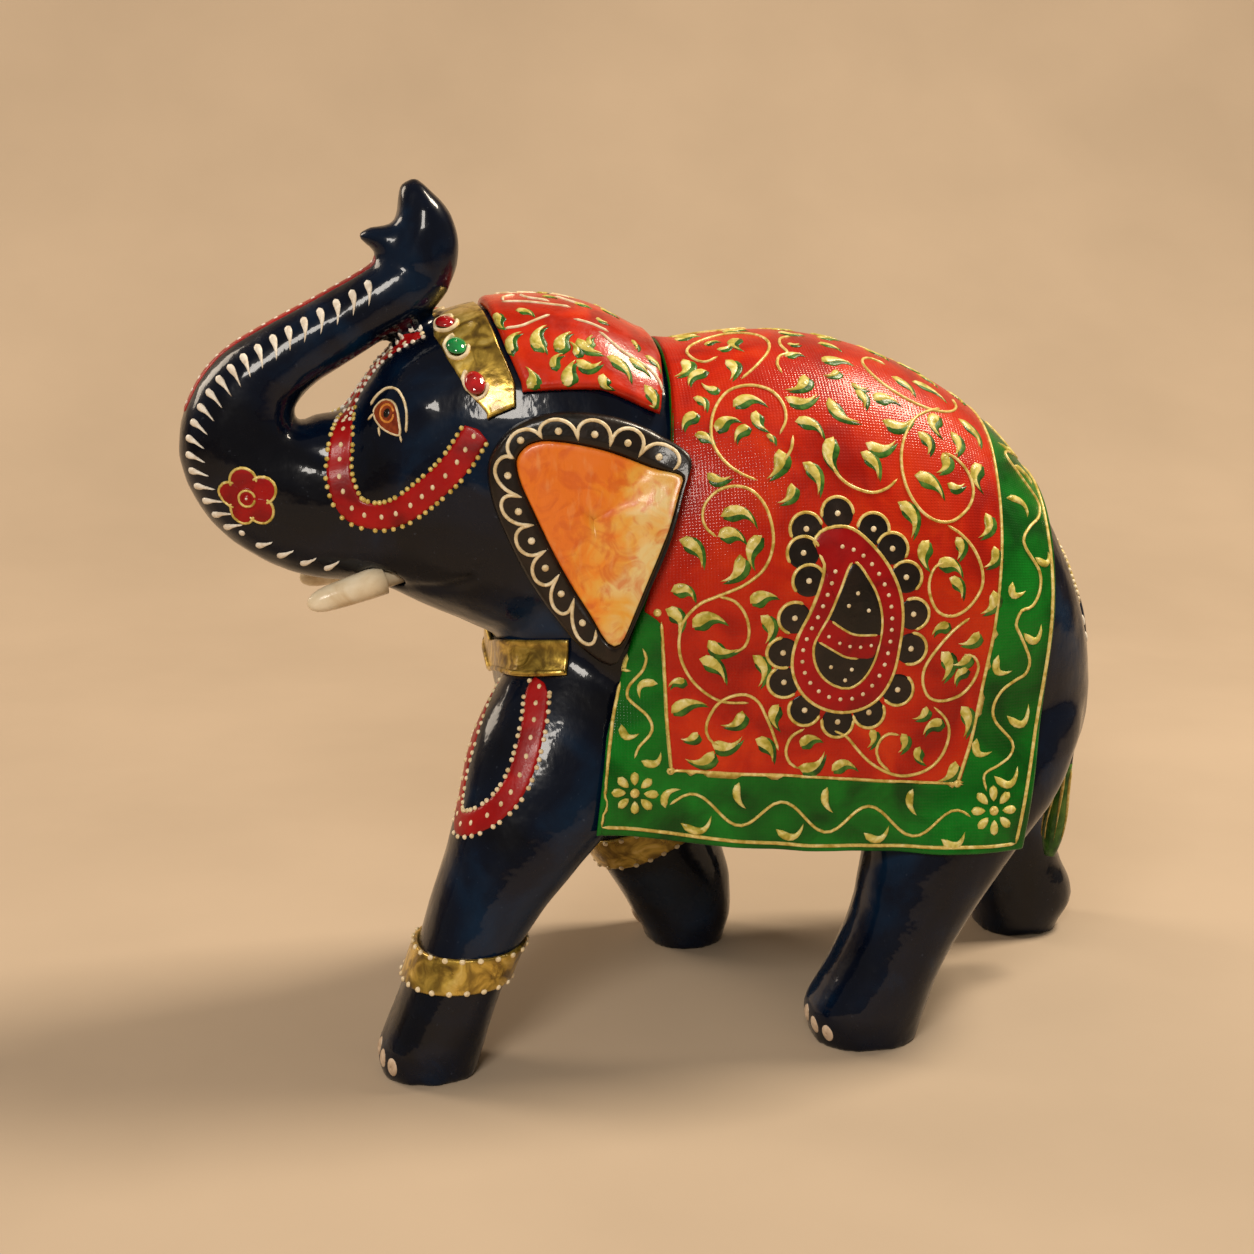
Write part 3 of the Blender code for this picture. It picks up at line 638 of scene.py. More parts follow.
def make_cloth():
    """Green ground of the saddle cloth."""
    rows, columns = rim_spacing(200, CLOTH_SIZE[0], CLOTH_RIM), rim_spacing(96, CLOTH_SIZE[1], CLOTH_RIM)
    wrap = Wrap("saddle_cloth", girth_base, rows, columns, 14)
    s = wrap.s[:, None] * np.ones(len(columns))
    threads = np.stack([wrap.outer[..., 0], s, 0 * s], axis=-1)
    piece = wrap.shell("saddle_cloth_canvas", CLOTH_THICKNESS, CLOTH_RIM, CLOTH_SIZE, "green",
                       threads)
    return wrap, piece


FIELD_FRONT = [(0, -5.8), (24.6, -6.7), (47.8, -9.5), (69, -14), (79, -16.6), (82.5, -12.4), (92, -11.8),
               (100, -11.5), (108, -11.2), (120.3, -10.3)]
FIELD_REAR = [
    (0, 71), (30, 70), (45, 69), (55, 68.5), (65, 67.8), (80, 66.3), (88, 65.3), (95.5, 63.8), (105, 62),
    (113, 60.3), (122.5, 57),
]
FIELD_HEM = [(-13, 120.3), (20, 120.3), (40, 121.7), (58, 122.8)]
FIELD_HEIGHT, FIELD_RIM_HEIGHT, FIELD_SINK = 0.22, 0.05, 0.3
FIELD_REACH = 121
FIELD_ROWS, FIELD_COLUMNS = 230, 64


def make_field(wrap, piece):
    """Red middle of the cloth: a coat of paint over the green ground, from hem to hem over the back."""
    plan = []
    for v in np.linspace(-1, 1, FIELD_ROWS):
        front, rear = (look_up(edge, FIELD_REACH * abs(v)) for edge in (FIELD_FRONT, FIELD_REAR))
        plan += [(x, v * look_up(FIELD_HEM, x)) for x in np.linspace(front, rear, FIELD_COLUMNS)]
    points, normals = Surface(piece).settle(wrap.place(plan))
    points, normals = (values.reshape(FIELD_ROWS, FIELD_COLUMNS, 3) for values in (points, normals))
    rise = np.full((FIELD_ROWS, FIELD_COLUMNS, 1), FIELD_HEIGHT)
    rise[[0, -1]] = rise[:, [0, -1]] = FIELD_RIM_HEIGHT
    threads = np.column_stack([plan, np.zeros(len(plan))])
    low, high = points - FIELD_SINK * normals, points + rise * normals
    return add_skin("red_field", low, high, False, "red", threads=threads)


HEAD_AXIS_Z = 125
# edges of the cap and the headband: x at an angle round the head's axis, in degrees from the left
# each size is the length round the head or leg and the width of the strip
CAP_THICKNESS, CAP_RIM, CAP_SIZE = 2.6, 1.6, (92, 38)
BAND_THICKNESS, BAND_RIM, BAND_SIZE = 1.3, 0.7, (100, 12)
CAP_FRONT = [(38, -41.4), (49, -41.8), (62, -44.7), (74, -46.2), (90, -47.2)]
CAP_BACK = [(38, -10), (50, -8.2), (65, -7), (90, -7)]
CAP_HEM_ANGLE = [(0, 45.5), (0.56, 45), (1, 39)]
BAND_FRONT = [(42, -49.7), (50, -53.7), (62, -57.2), (74, -59.4), (80, -59), (90, -56)]
BAND_BACK = [(42, -43.2), (49, -42.7), (62, -45.4), (74, -46.9), (90, -48)]
BAND_HEM_ANGLE = [(0, 39.5), (1, 42)]


def head_chart(front, back, hem_angle):
    """Base and outward direction round the head's axis; t runs from 0, left hem, to 1, right hem."""
    def base_at(t, u):
        side = 2 * t - 1
        angle = 90 - (89.6 - look_up(hem_angle, u)) * abs(side)
        x = (look_up(front, angle) + 0.1) * (1 - u) + (look_up(back, angle) - 0.1) * u
        radians = math.radians(angle)
        return (x, 0, HEAD_AXIS_Z), (0, math.copysign(math.cos(radians), side), math.sin(radians))
    return base_at


def make_cap():
    """Red cap with a rounded, rolled rim."""
    rows, columns = rim_spacing(80, CAP_SIZE[0], CAP_RIM), rim_spacing(34, CAP_SIZE[1], CAP_RIM)
    wrap = Wrap("head_cap", head_chart(CAP_FRONT, CAP_BACK, CAP_HEM_ANGLE), rows, columns, 8)
    return wrap, wrap.shell("head_cap_crown", CAP_THICKNESS, CAP_RIM, CAP_SIZE, "cap_red")


def make_headband():
    """Gilded band across the forehead."""
    rows, columns = rim_spacing(90, BAND_SIZE[0], BAND_RIM), rim_spacing(16, BAND_SIZE[1], BAND_RIM)
    wrap = Wrap("headband", head_chart(BAND_FRONT, BAND_BACK, BAND_HEM_ANGLE), rows, columns, 3)
    return wrap.shell("headband_gilt", BAND_THICKNESS, BAND_RIM, BAND_SIZE, "gilt")


COLLAR_AXIS_X, COLLAR_Z, COLLAR_HEIGHT = -22, 87.5, 7.6
COLLAR_END_ANGLE, COLLAR_SPREAD = 72, 6.9
COLLAR_LENGTH, COLLAR_THICKNESS = 80, 1.1
STRAP_RIM = 0.6
SHELL_SHARE = 0.97        # a finer shell stays this much inside the height of its CAD node


def make_collar():
    """Gilded collar with a thin raised lip along its lower edge."""
    def base_at(t, u):
        angle = math.radians(COLLAR_END_ANGLE * 0.995 * (2 * t - 1))
        outward = (-math.cos(angle), math.sin(angle), 0)
        z = COLLAR_Z + COLLAR_HEIGHT * SHELL_SHARE * (u - 0.5) + COLLAR_SPREAD * abs(outward[1])
        return (COLLAR_AXIS_X, 0, z), outward
    rows, columns = rim_spacing(80, COLLAR_LENGTH, STRAP_RIM), rim_spacing(12, COLLAR_HEIGHT, STRAP_RIM)
    wrap = Wrap("collar", base_at, rows, columns, 2)
    piece = wrap.shell("collar_gilt", COLLAR_THICKNESS, STRAP_RIM, (COLLAR_LENGTH, COLLAR_HEIGHT), "gilt")
    lip = Paint("collar_lip", Surface(piece), "gilt")
    lip.stroke(wrap.outer[2:-2, 4], 0.6, 0.7)
    lip.make()


ANKLET_HEIGHT, ANKLET_THICKNESS = 8.6, 1.4
# middle height, rise along +x, and the leg's axis as rows of z, x, y
ANKLETS = {"left": (24.8, 0, [(10, -63.2, -34.6), (20, -59.5, -34), (29.6, -55.2, -33), (38, -50.6, -31.5)]),
           "right": (31, 6.3, [(20, 5, 37), (30, -0.5, 35.5), (45, -8, 32)])}


def make_anklet(name):
    """Gilded ring round a front leg, with cream dots along both edges."""
    middle, tilt, axis = ANKLETS[name]

    def base_at(turn, u):
        outward = (math.cos(turn), math.sin(turn), 0)
        z = middle + ANKLET_HEIGHT * SHELL_SHARE * (u - 0.5) + tilt * outward[0]
        heights, xs, ys = zip(*axis)
        return (np.interp(z, heights, xs), np.interp(z, heights, ys), z), outward
    rows, columns = np.linspace(0, 2 * math.pi, 90, endpoint=False), rim_spacing(12, ANKLET_HEIGHT, STRAP_RIM)
    wrap = Wrap("anklet_" + name, base_at, rows, columns, 2, wrap=True)
    piece = wrap.shell(f"anklet_{name}_gilt", ANKLET_THICKNESS, STRAP_RIM, (0, ANKLET_HEIGHT), "gilt")
    dots = Paint(f"anklet_{name}_dots", Surface(piece), "cream")
    for column in (4, len(columns) - 5):
        dots.dots(wrap.outer[::4, column], 0.75, 0.5)
    dots.make()


# ---------------------------------------------------------------- raised paint
PAINT_SINK = 0.25
# shares of the half width of a stroke and of the radius of a dot, where their mesh lines run
ACROSS = np.array([-1, -0.72, 0, 0.72, 1])
RINGS = np.array([0.01, 0.35, 0.65, 0.88, 1])
# width of a stroke from its start to its end, as shares of the full width
LEAF = (0.3, 0.85, 1, 0.95, 0.75, 0.5, 0.3, 0.16, 0.06)
COMMA = (0.5, 0.95, 1, 0.85, 0.6, 0.42, 0.3, 0.2, 0.08)
CRESCENT = (0.3, 0.85, 1, 0.9, 0.6, 0.35, 0.1)
PETAL = (0.3, 0.6, 0.9, 1, 0.85, 0.5)


class Paint:
    """Raised paint of one colour on one surface, gathered into one piece of closed skins."""

    def __init__(self, name, surface, material):
        self.name, self.surface, self.material = name, surface, material
        self.points, self.faces, self.count = [], [], 0

    def lay(self, seeds, heights, wrap=False):
        """A closed skin over a grid of seeds settled on the surface."""
        rows, columns = seeds.shape[:2]
        points, normals = self.surface.settle(seeds.reshape(-1, 3))
        self.faces += (self.count + shell_faces(rows, columns, wrap)).tolist()
        self.points += [points - PAINT_SINK * normals, points + normals * heights.reshape(-1, 1)]
        self.count += 2 * rows * columns

    def stroke(self, path, half_width, height, profile=(1, 1), flat=False):
        """A brush line with rounded ends along a path; the profile varies its width."""
        points, normals = self.surface.settle(path)
        along = arc_length(points)
        across = unit(np.cross(normals, unit(np.gradient(points, axis=0))))
        width = half_width * np.interp(along / along[-1], np.linspace(0, 1, len(profile)), profile)
        ends = rim_profile(np.minimum(along, along[-1] - along), min(half_width, 0.6))
        columns = np.linspace(-1, 1, 9) if flat else ACROSS
        dome = np.maximum(np.sqrt(1 - columns ** 2), 0.12)
        rise = np.where(np.abs(columns) > 0.99, 0.15, 1) if flat else dome
        seeds = points[:, None] + across[:, None] * (width * ends)[:, None, None] * columns[None, :, None]
        self.lay(seeds, height * ends[:, None] * rise[None, :])

    def dots(self, spots, radius, height, stretch=1.0, sides=10):
        """Domed dots; stretch draws them out upwards."""
        points, normals = self.surface.settle(spots)
        for point, normal in zip(points, normals):
            level = unit(np.cross(normal, (0.05, 0.02, 1)))
            up = np.cross(level, normal)
            turns = np.linspace(0, 2 * math.pi, sides, endpoint=False)
            rim = level * np.cos(turns)[:, None] + up * np.sin(turns)[:, None] * stretch
            self.lay(point + rim[:, None] * (RINGS * radius)[None, :, None],
                     height * np.maximum(np.sqrt(1 - RINGS ** 2), 0.1) * np.ones((sides, 1)), wrap=True)

    def fill(self, outline, height, centre=None, place=np.asarray):
        """A flat patch inside a closed outline, which place takes to the surface."""
        outline = np.asarray(outline, float)
        centre = outline.mean(axis=0) if centre is None else np.asarray(centre, float)
        shares = np.array([0.002, 0.12, 0.25, 0.37, 0.5, 0.62, 0.75, 0.87, 0.97, 1])
        plan = centre + (outline[:, None] - centre) * shares[None, :, None]
        seeds = place(plan.reshape(-1, plan.shape[-1])).reshape(len(outline), len(shares), 3)
        self.lay(seeds, height * np.where(shares > 0.99, 0.15, 1) * np.ones((len(outline), 1)), wrap=True)

    def make(self):
        return add_piece(self.name, np.vstack(self.points), self.faces, self.material)


def arch(start, end, bend):
    """A path from start to end that bows out to one side by bend times its length."""
    start, end = np.asarray(start, float), np.asarray(end, float)
    t = np.linspace(0, 1, 9)[:, None]
    aside = np.array([end[1] - start[1], start[0] - end[0]]) * bend
    return start + (end - start) * t + aside * 4 * t * (1 - t)


def around(centre, radius, count=28, start=0.0, end=2 * math.pi):
    """Points on a circle or an arc in design coordinates."""
    turns = np.linspace(start, end, count, endpoint=end - start < 6)
    return np.asarray(centre, float) + radius * np.column_stack([np.cos(turns), np.sin(turns)])


# ---------------------------------------------------------------- designs on the cloth
# places are (x, s) on the left flank, with s counted as positive
FIELD_LINES = [
    [(-12.3, 82), (-11.8, 92), (-11.5, 100), (-11.2, 108), (-10.3, 120.3)],
    [(-10.3, 120.3), (0, 120), (20, 120.3), (30, 121), (40, 121.7), (57, 122.6)],
    [(57, 122.6), (60.3, 113), (62, 105), (63.8, 95.5), (65.3, 88), (66.3, 80), (67.8, 65), (69, 45),
     (70, 30), (71, 0.3)],
]
LINE_CORNERS = [(-13, 79.5), (-10.3, 120.3), (57, 122.6)]
EDGE_LINES = [
    [(-21.3, 98), (-23.5, 110), (-25.4, 124), (-26.2, 136)],
    [(-26.2, 136), (0, 136.6), (30, 137), (71.5, 136.8)],
    [(71.5, 136.8), (74, 125), (76.8, 112), (79.7, 95), (81.2, 80), (82, 60), (83, 40), (84, 20), (84.3, 0.3)],
]
WAVE_DEPTH, WAVE_LENGTH = 3.3, 20.6     # of the vine along the hem
BORDER_VINES = [
    [(-16.3, 89), (-15.5, 91.5), (-16.3, 94.7), (-18, 97), (-19.5, 99.3), (-19.7, 102), (-17.9, 104),
     (-15.5, 106.3), (-14.4, 109), (-15, 111.3), (-17.5, 114.5), (-18.6, 117.5)],
    [(79, 3), (75, 8), (78, 14), (81, 20), (78, 27), (74, 34), (77, 41), (81, 48), (80, 55), (76.2, 60),
     (74, 63.5), (74.2, 66.5), (77.6, 72.6), (77.5, 78), (75.3, 82), (72.3, 83), (70.9, 86.2), (72.2, 89),
     (74.8, 94.8), (73.9, 98), (71.3, 99.3), (67.8, 101.5), (65.8, 105), (66.3, 108.5), (70.7, 113.6),
     (70.2, 116.6), (67.3, 118.6), (63.6, 120.6), (64, 124.3)],
    [(x, 129.2 - WAVE_DEPTH * math.cos(2 * math.pi * (x + 5) / WAVE_LENGTH) + 0.045 * x)
     for x in np.arange(-10.5, 61, 1.5)],
]
BORDER_CRESCENTS = [
    (-22.5, 90.5, -18.8, 95, -0.3), (-13, 98, -17, 102, -0.4), (-21.3, 109, -17.3, 111, -0.5),
    (-17, 118, -12.5, 115.5, -0.4), (76, 10, 81, 13, 0.4), (77, 24, 73, 29, 0.4), (76, 37, 81, 40, 0.4),
    (70.5, 52.5, 76, 57, 0.4), (76.8, 69, 81, 67, -0.6), (70, 75.5, 73.5, 78, -0.6),
    (73, 88.5, 77.8, 87, -0.6), (66.6, 93, 70.3, 97, -0.5), (69.3, 107.5, 75, 105.3, -0.6),
    (61.8, 112.3, 65.5, 115.5, -0.5), (66, 121, 72, 119.2, -0.5), (-11.5, 130, -8, 124.8, 0.3),
    (-8, 133.5, -1, 130.8, -0.4), (5.3, 122, 7, 128.5, -0.2), (14, 133.4, 20.5, 131.6, -0.4),
    (26, 122.8, 27.5, 129, -0.2), (35, 134, 41, 132.2, -0.4), (46.5, 123.6, 47.5, 129.8, -0.2),
    (53, 135, 58.5, 133.4, -0.4),
]
CORNER_FLOWERS = [(-18.6, 126.6), (65.7, 128.7)]
VINES = [
    [(9.5, 25), (13.5, 21.5), (17.5, 16.5), (19, 11.5), (17.5, 6.5), (13, 3.5), (7.5, 4.5), (2, 8),
     (-0.5, 12), (0.5, 16), (3, 17.6), (6, 16)],
    [(16, 40), (17.9, 36.5), (17.8, 32.5), (15.5, 28.8), (11, 27), (6.3, 27.8), (3, 31), (1, 35.5),
     (0.8, 40.5), (3, 45), (6.2, 48), (9.8, 50)],
    [(19, 40.3), (18.2, 43.5), (16, 46.5)],
    [(0.2, 62), (-2, 59.8), (-2.8, 57), (-2, 54), (0.8, 51.5), (4.6, 50.8), (8.2, 52), (11, 55.3),
     (12.5, 60), (12.6, 65), (10.5, 70), (6, 73.5), (0.3, 75.8), (-4, 77.7), (-7.2, 81.5), (-8.3, 86),
     (-8, 91), (-6, 96), (-2.6, 99.8), (1.5, 102), (7.4, 102.2)],
    [(0.2, 75.9), (3.8, 77.2), (6.3, 80.5), (7.2, 84.8), (6.3, 88.2), (3.8, 89.8)],
    [(14.3, 114), (12.8, 109.3), (11.3, 105.6), (9.5, 102), (6.6, 100.2), (3, 100.8), (0, 103), (-2, 107),
     (-2.2, 110), (-0.8, 112.3), (1.5, 113)],
    [(20.3, 108.5), (17.3, 110.5), (16, 114), (17, 117), (19.3, 118.3)],
    [(27, 109), (30.2, 110.7), (33, 114), (36, 117), (40.3, 119.5), (44.7, 120.4), (49.8, 119),
     (53.3, 115.7), (54.9, 111), (54, 107.3), (51, 104.3)],
    [(41, 119.4), (38.4, 117), (37.5, 114), (38.4, 111.6), (40.3, 110.3), (43, 110.7)],
    [(59, 83.7), (55.3, 86.3), (51, 91), (48.5, 95), (48.2, 98.7), (49.8, 102), (53.2, 103), (57.6, 101.7),
     (60.5, 98.6), (61.6, 95.3), (60.3, 92.9), (58, 92.3)],
    [(54, 61.3), (57.2, 63.5), (60, 66.8), (61.8, 71), (62.2, 75), (61, 78.3), (58.2, 81.5), (54.8, 83),
     (51.5, 82), (49.5, 78.7), (49, 74.8), (50.5, 71.2), (53.3, 70)],
    [(57.5, 27.5), (54, 30), (49.8, 33.5), (46.7, 38), (44.6, 43), (44, 48), (45, 53.3), (47.7, 57.8),
     (51.2, 60.2), (55.2, 60.3), (59, 57.5), (61, 54), (61.4, 50.3), (60.3, 46.4), (58, 43.7), (55.3, 42.5)],
    [(47, 14), (43.5, 13), (41, 15), (40.5, 18.5), (42.5, 23), (46, 26.3), (50.5, 28.6), (55.5, 29.3),
     (60, 27.3), (62.8, 23), (63, 18)],
    [(25.5, 7), (22.5, 9), (21.5, 13), (22.3, 16.5), (20, 18), (18.8, 21), (19.3, 24)],
    [(26.6, 45), (28, 49), (31, 52), (36, 53.7), (40, 52.6), (42.7, 50.3)],
]
# x and s at the blunt end, x and s at the tip, and how far the leaf bows out where it does so strongly
LEAVES = [
    (-2, 15.5, -5.5, 22), (2.5, 21, -2.5, 25), (4, 27, 0.5, 24.5), (4.5, 10, 8, 9), (6.5, 13, 10, 11.5),
    (7.5, 18, 7, 25), (13, 8, 12, 15, -0.3), (23.5, 12, 26.5, 12), (21.5, 18.3, 26, 17.5),
    (24.5, 24.5, 19, 29), (18.7, 31, 26.5, 30), (33, 22, 29, 24.5), (-2, 28.5, 0, 32.5),
    (-1.5, 33, -5.5, 36.5), (-3, 38, 1, 41.5), (6.5, 32.5, 14, 33, 0.3), (11.5, 34, 13.5, 39),
    (13, 40, 14.5, 42.3), (2, 38, 7.5, 36, 0.3), (9.5, 37.8, 5.8, 41.2), (15.5, 43.5, 12, 50),
    (20, 37.3, 26, 41.3), (28.5, 41, 29.2, 50), (20.6, 46.8, 23.5, 54.3), (17.6, 51.3, 14, 55.5),
    (-1, 47.2, 4.3, 48.5), (1.3, 57.5, 9, 60.5, 0.3), (0.5, 62, 6.5, 64), (10.3, 62.5, 8.2, 70),
    (-8, 61.8, -3.2, 69), (5.2, 66.5, 0.8, 72.5), (29, 31, 35.5, 37), (30, 19.5, 37.5, 19),
    (31.5, 10, 36, 13), (35.5, 26, 39.5, 27), (36, 28, 37, 33.5), (40, 30.5, 46.5, 30.7), (41, 36, 49, 34),
    (47, 20, 51, 26), (52.5, 19, 60, 23), (36, 42.2, 43.5, 41), (34.5, 44.5, 38, 50.8), (49.5, 38, 51, 44),
    (56.5, 31, 55.5, 38.5, -0.3), (58.5, 35.5, 58, 43), (55, 42.8, 52.5, 48.5), (55, 51, 59.5, 50.5),
    (47, 49.5, 53.5, 55), (42.3, 56, 45, 64.5), (65, 44, 63.7, 52.5), (62, 29, 65.5, 38),
    (64, 58, 61.5, 64.5), (49.3, 65, 49, 72), (56, 64.3, 56, 69.8), (65.5, 66.5, 62.5, 71.8),
    (51, 71, 57, 73.8, 0.3), (54, 74, 57, 79.2), (65, 77.5, 61.7, 83), (54.3, 85.6, 50, 87.5),
    (61.5, 87.3, 56.5, 89.8), (52.5, 91.5, 52.8, 98.5), (59.3, 96, 56, 99.5), (59.5, 92.3, 55, 94.6),
    (49.3, 104.2, 46, 107), (53.6, 108.5, 48.7, 111), (57.8, 104.7, 58.5, 112), (43.5, 110.5, 42.8, 115),
    (48, 113.7, 49.3, 117.7, -0.3), (56.6, 117.5, 52.3, 122), (36, 109.2, 35.3, 113.7),
    (27, 119, 33, 118.8, 0.3), (-10, 74.3, -5, 77, 0.35), (-11.2, 78.8, -8.5, 84.8),
    (-5.3, 83.5, 2.3, 82.7, 0.3), (7.5, 78, 13.7, 76.8), (9.8, 81, 11, 87.8), (-1.8, 86.7, 5, 89),
    (-3.8, 91.5, 2, 97.5), (8.2, 90.6, 9.5, 98.5), (-6.8, 97.5, -10.8, 99), (-10, 105.5, -2, 103),
    (6, 104.3, 1, 108), (14.3, 102.8, 14.4, 109), (-4.2, 110, -8, 112), (-0.5, 114.6, -7, 117),
    (-1, 112.5, 6, 110.7), (9, 111.3, 13, 117), (19.5, 113, 24.5, 111.5), (19, 118, 25.2, 114.2),
    (-1, 4, 5, 1.5), (11, 1.2, 16.5, 1.4), (24, 2.2, 29.5, 4), (33.5, 4.5, 39, 2), (44.5, 4, 49, 8.5),
    (53, 3.2, 59, 5), (56.5, 9, 60, 14), (64.5, 8, 66.5, 15),
]
PAISLEY = [
    (22.6, 66.6), (22, 64.5), (23.5, 62.3), (27, 61.2), (31, 61.8), (35, 65), (39, 70), (41.8, 76),
    (42.8, 82), (42.4, 88.5), (41, 96), (38, 101.3), (34, 104), (29, 104.8), (24, 103.5), (20, 100.5),
    (17.6, 96), (17.2, 91), (18.6, 85.5), (21.3, 80), (23.6, 73.7), (24.2, 69.5),
]
PAISLEY_EYE = (29.5, 87)
PAISLEY_INSIDE = [
    (31, 69.3), (35, 74), (37.2, 79), (37.9, 84), (37.4, 88.5), (36.2, 93), (33.8, 97), (30.5, 99),
    (27, 98.2), (24, 95.8), (22.3, 92.3), (22, 88.8), (23, 86), (25.5, 81.4), (27.8, 76),
]
PAISLEY_RING = [
    (28.5, 65.75), (32.5, 67.3), (36.5, 71.5), (39.3, 77.25), (40.2, 82.75), (39.85, 89.1), (38.4, 94.75),
    (35.6, 99), (32.5, 101.25), (28.8, 101.6), (25, 100.5), (21.75, 97.85), (19.8, 94.05), (19.5, 90),
    (20.7, 85.8), (23.2, 80.8), (25.5, 75.1), (27.4, 69.25),
]
PAISLEY_BAND = [
    (25.3, 82.2), (28.4, 84.5), (31.7, 86.2), (37.6, 86.5), (37, 89.6), (36, 91.9), (33.1, 92), (29.7, 91.5),
    (26.7, 89.8), (22.5, 87.1), (23.4, 84.6),
]
BAND_DOTS = [(25.4, 86.3), (28, 88), (30.4, 88.9), (32.9, 89.2), (35.4, 88.9)]
PAISLEY_DOTS = [(29.9, 79.3), (34.6, 80.6), (26.1, 93.7), (31, 94.5), (32, 76.5), (29.5, 97)]
PAISLEY_LOBES = [
    (20.3, 61.5), (27.7, 58.3), (36, 62), (40.3, 66.6), (43.5, 73.3), (45.3, 82), (45, 90.2), (42.1, 99.8),
    (35.4, 105), (28, 107), (20.2, 104), (15.3, 97.2), (15, 90), (17.5, 81.7), (20.7, 73.2), (19.5, 66.8),
]
PAISLEY_BAND_CENTRE = (30.2, 88)
LOBE_RADIUS, LOBE_HALF_TURN = 3.7, 1.75


def lay_leaf(gold, green, at, leaf, number):
    """One leaf: a green shadow stroke with a gold one over it."""
    x1, s1, x2, s2, *bend = leaf
    length = math.hypot(x2 - x1, s2 - s1)
    bow = bend[0] if bend else (0.26, -0.24, 0.2)[number % 3]
    path = arch((x1, s1), (x2, s2), bow)
    broad = min(0.27 * length, 1.8) * random.uniform(0.9, 1.12)
    green.stroke(at(path + (0.4, 0.5)), broad * 1.05, 0.2, LEAF)
    gold.stroke(at(path - (0.1, 0.15)), broad * 0.76, 0.36, LEAF)


def lay_flower(leaf, gold, at, centre):
    """Corner flower: eight strokes round a dot."""
    for turn in np.arange(8) * math.pi / 4:
        arm = np.array([math.cos(turn), math.sin(turn)])
        leaf.stroke(at([centre + arm * radius for radius in np.linspace(2.1, 5.6, 7)]), 1.05, 0.5, PETAL)
    gold.dots(at([centre]), 1.15, 0.6)


def paint_paisley(paints, at):
    """Black paisley with a dotted red rim and cross band, in a wreath of outlined black lobes."""
    gold, black, red, cream = (paints[name] for name in ("lines", "paisley_ground", "paisley_band", "dots"))
    rim, inside = curve(PAISLEY, 1.3, closed=True), curve(PAISLEY_INSIDE, 1.2, closed=True)
    red.fill(rim, 0.28, PAISLEY_EYE, at)
    gold.stroke(at(looped(rim)), 0.42, 0.5)
    black.fill(inside, 0.4, PAISLEY_EYE, at)
    gold.stroke(at(looped(inside)), 0.38, 0.6)
    for number, (x, s) in enumerate(PAISLEY_LOBES):
        out = math.atan2(s - PAISLEY_EYE[1], x - PAISLEY_EYE[0])
        black.fill(around((x, s), LOBE_RADIUS), 0.16 + 0.04 * (number % 2), place=at)
        gold.stroke(at(around((x, s), LOBE_RADIUS, 26, out - LOBE_HALF_TURN, out + LOBE_HALF_TURN)), 0.4, 0.5)
    cream.dots(at(PAISLEY_LOBES), 0.72, 0.6)
    cream.dots(at(curve(PAISLEY_RING, 0.3)[::9]), 0.55, 0.6)
    red.fill(curve(PAISLEY_BAND, 1, closed=True), 0.5, PAISLEY_BAND_CENTRE, at)
    for line in (PAISLEY_BAND[:4], PAISLEY_BAND[6:10]):
        gold.stroke(at(curve(line, 1)), 0.36, 0.7)
    cream.dots(at(BAND_DOTS), 0.55, 0.8)
    cream.dots(at(PAISLEY_DOTS), 0.62, 0.65)


def paint_cloth(wrap, surface):
    """Vines, leaves, borders, paisley and corner flowers on both flanks."""
    paints = {name: Paint("cloth_" + name, surface, material) for name, material in (
        ("lines", "gold"), ("leaves", "leaf_gold"), ("leaf_shadows", "leaf_green"),
        ("paisley_ground", "black"), ("paisley_band", "band_red"), ("dots", "cream"))}
    gold, leaf, green = (paints[name] for name in ("lines", "leaves", "leaf_shadows"))
    for _, side in SIDES:
        at = wrap.on_side(side)
        for line in FIELD_LINES + EDGE_LINES:
            gold.stroke(at(curve(line, 1.2)), 0.42, 0.4)
        gold.dots(at(LINE_CORNERS), 0.95, 0.6)
        for line in BORDER_VINES + VINES:
            gold.stroke(at(curve(line, 0.9)), 0.36, 0.42, (0.9, 1, 1, 1, 1, 0.8))
        for number, entry in enumerate(LEAVES):
            lay_leaf(leaf, green, at, entry, number)
        for x1, s1, x2, s2, bow in BORDER_CRESCENTS:
            leaf.stroke(at(arch((x1, s1), (x2, s2), bow)), 0.95, 0.5, CRESCENT)
        for centre in CORNER_FLOWERS:
            lay_flower(leaf, gold, at, centre)
        paint_paisley(paints, at)
    for coat in paints.values():
        coat.make()


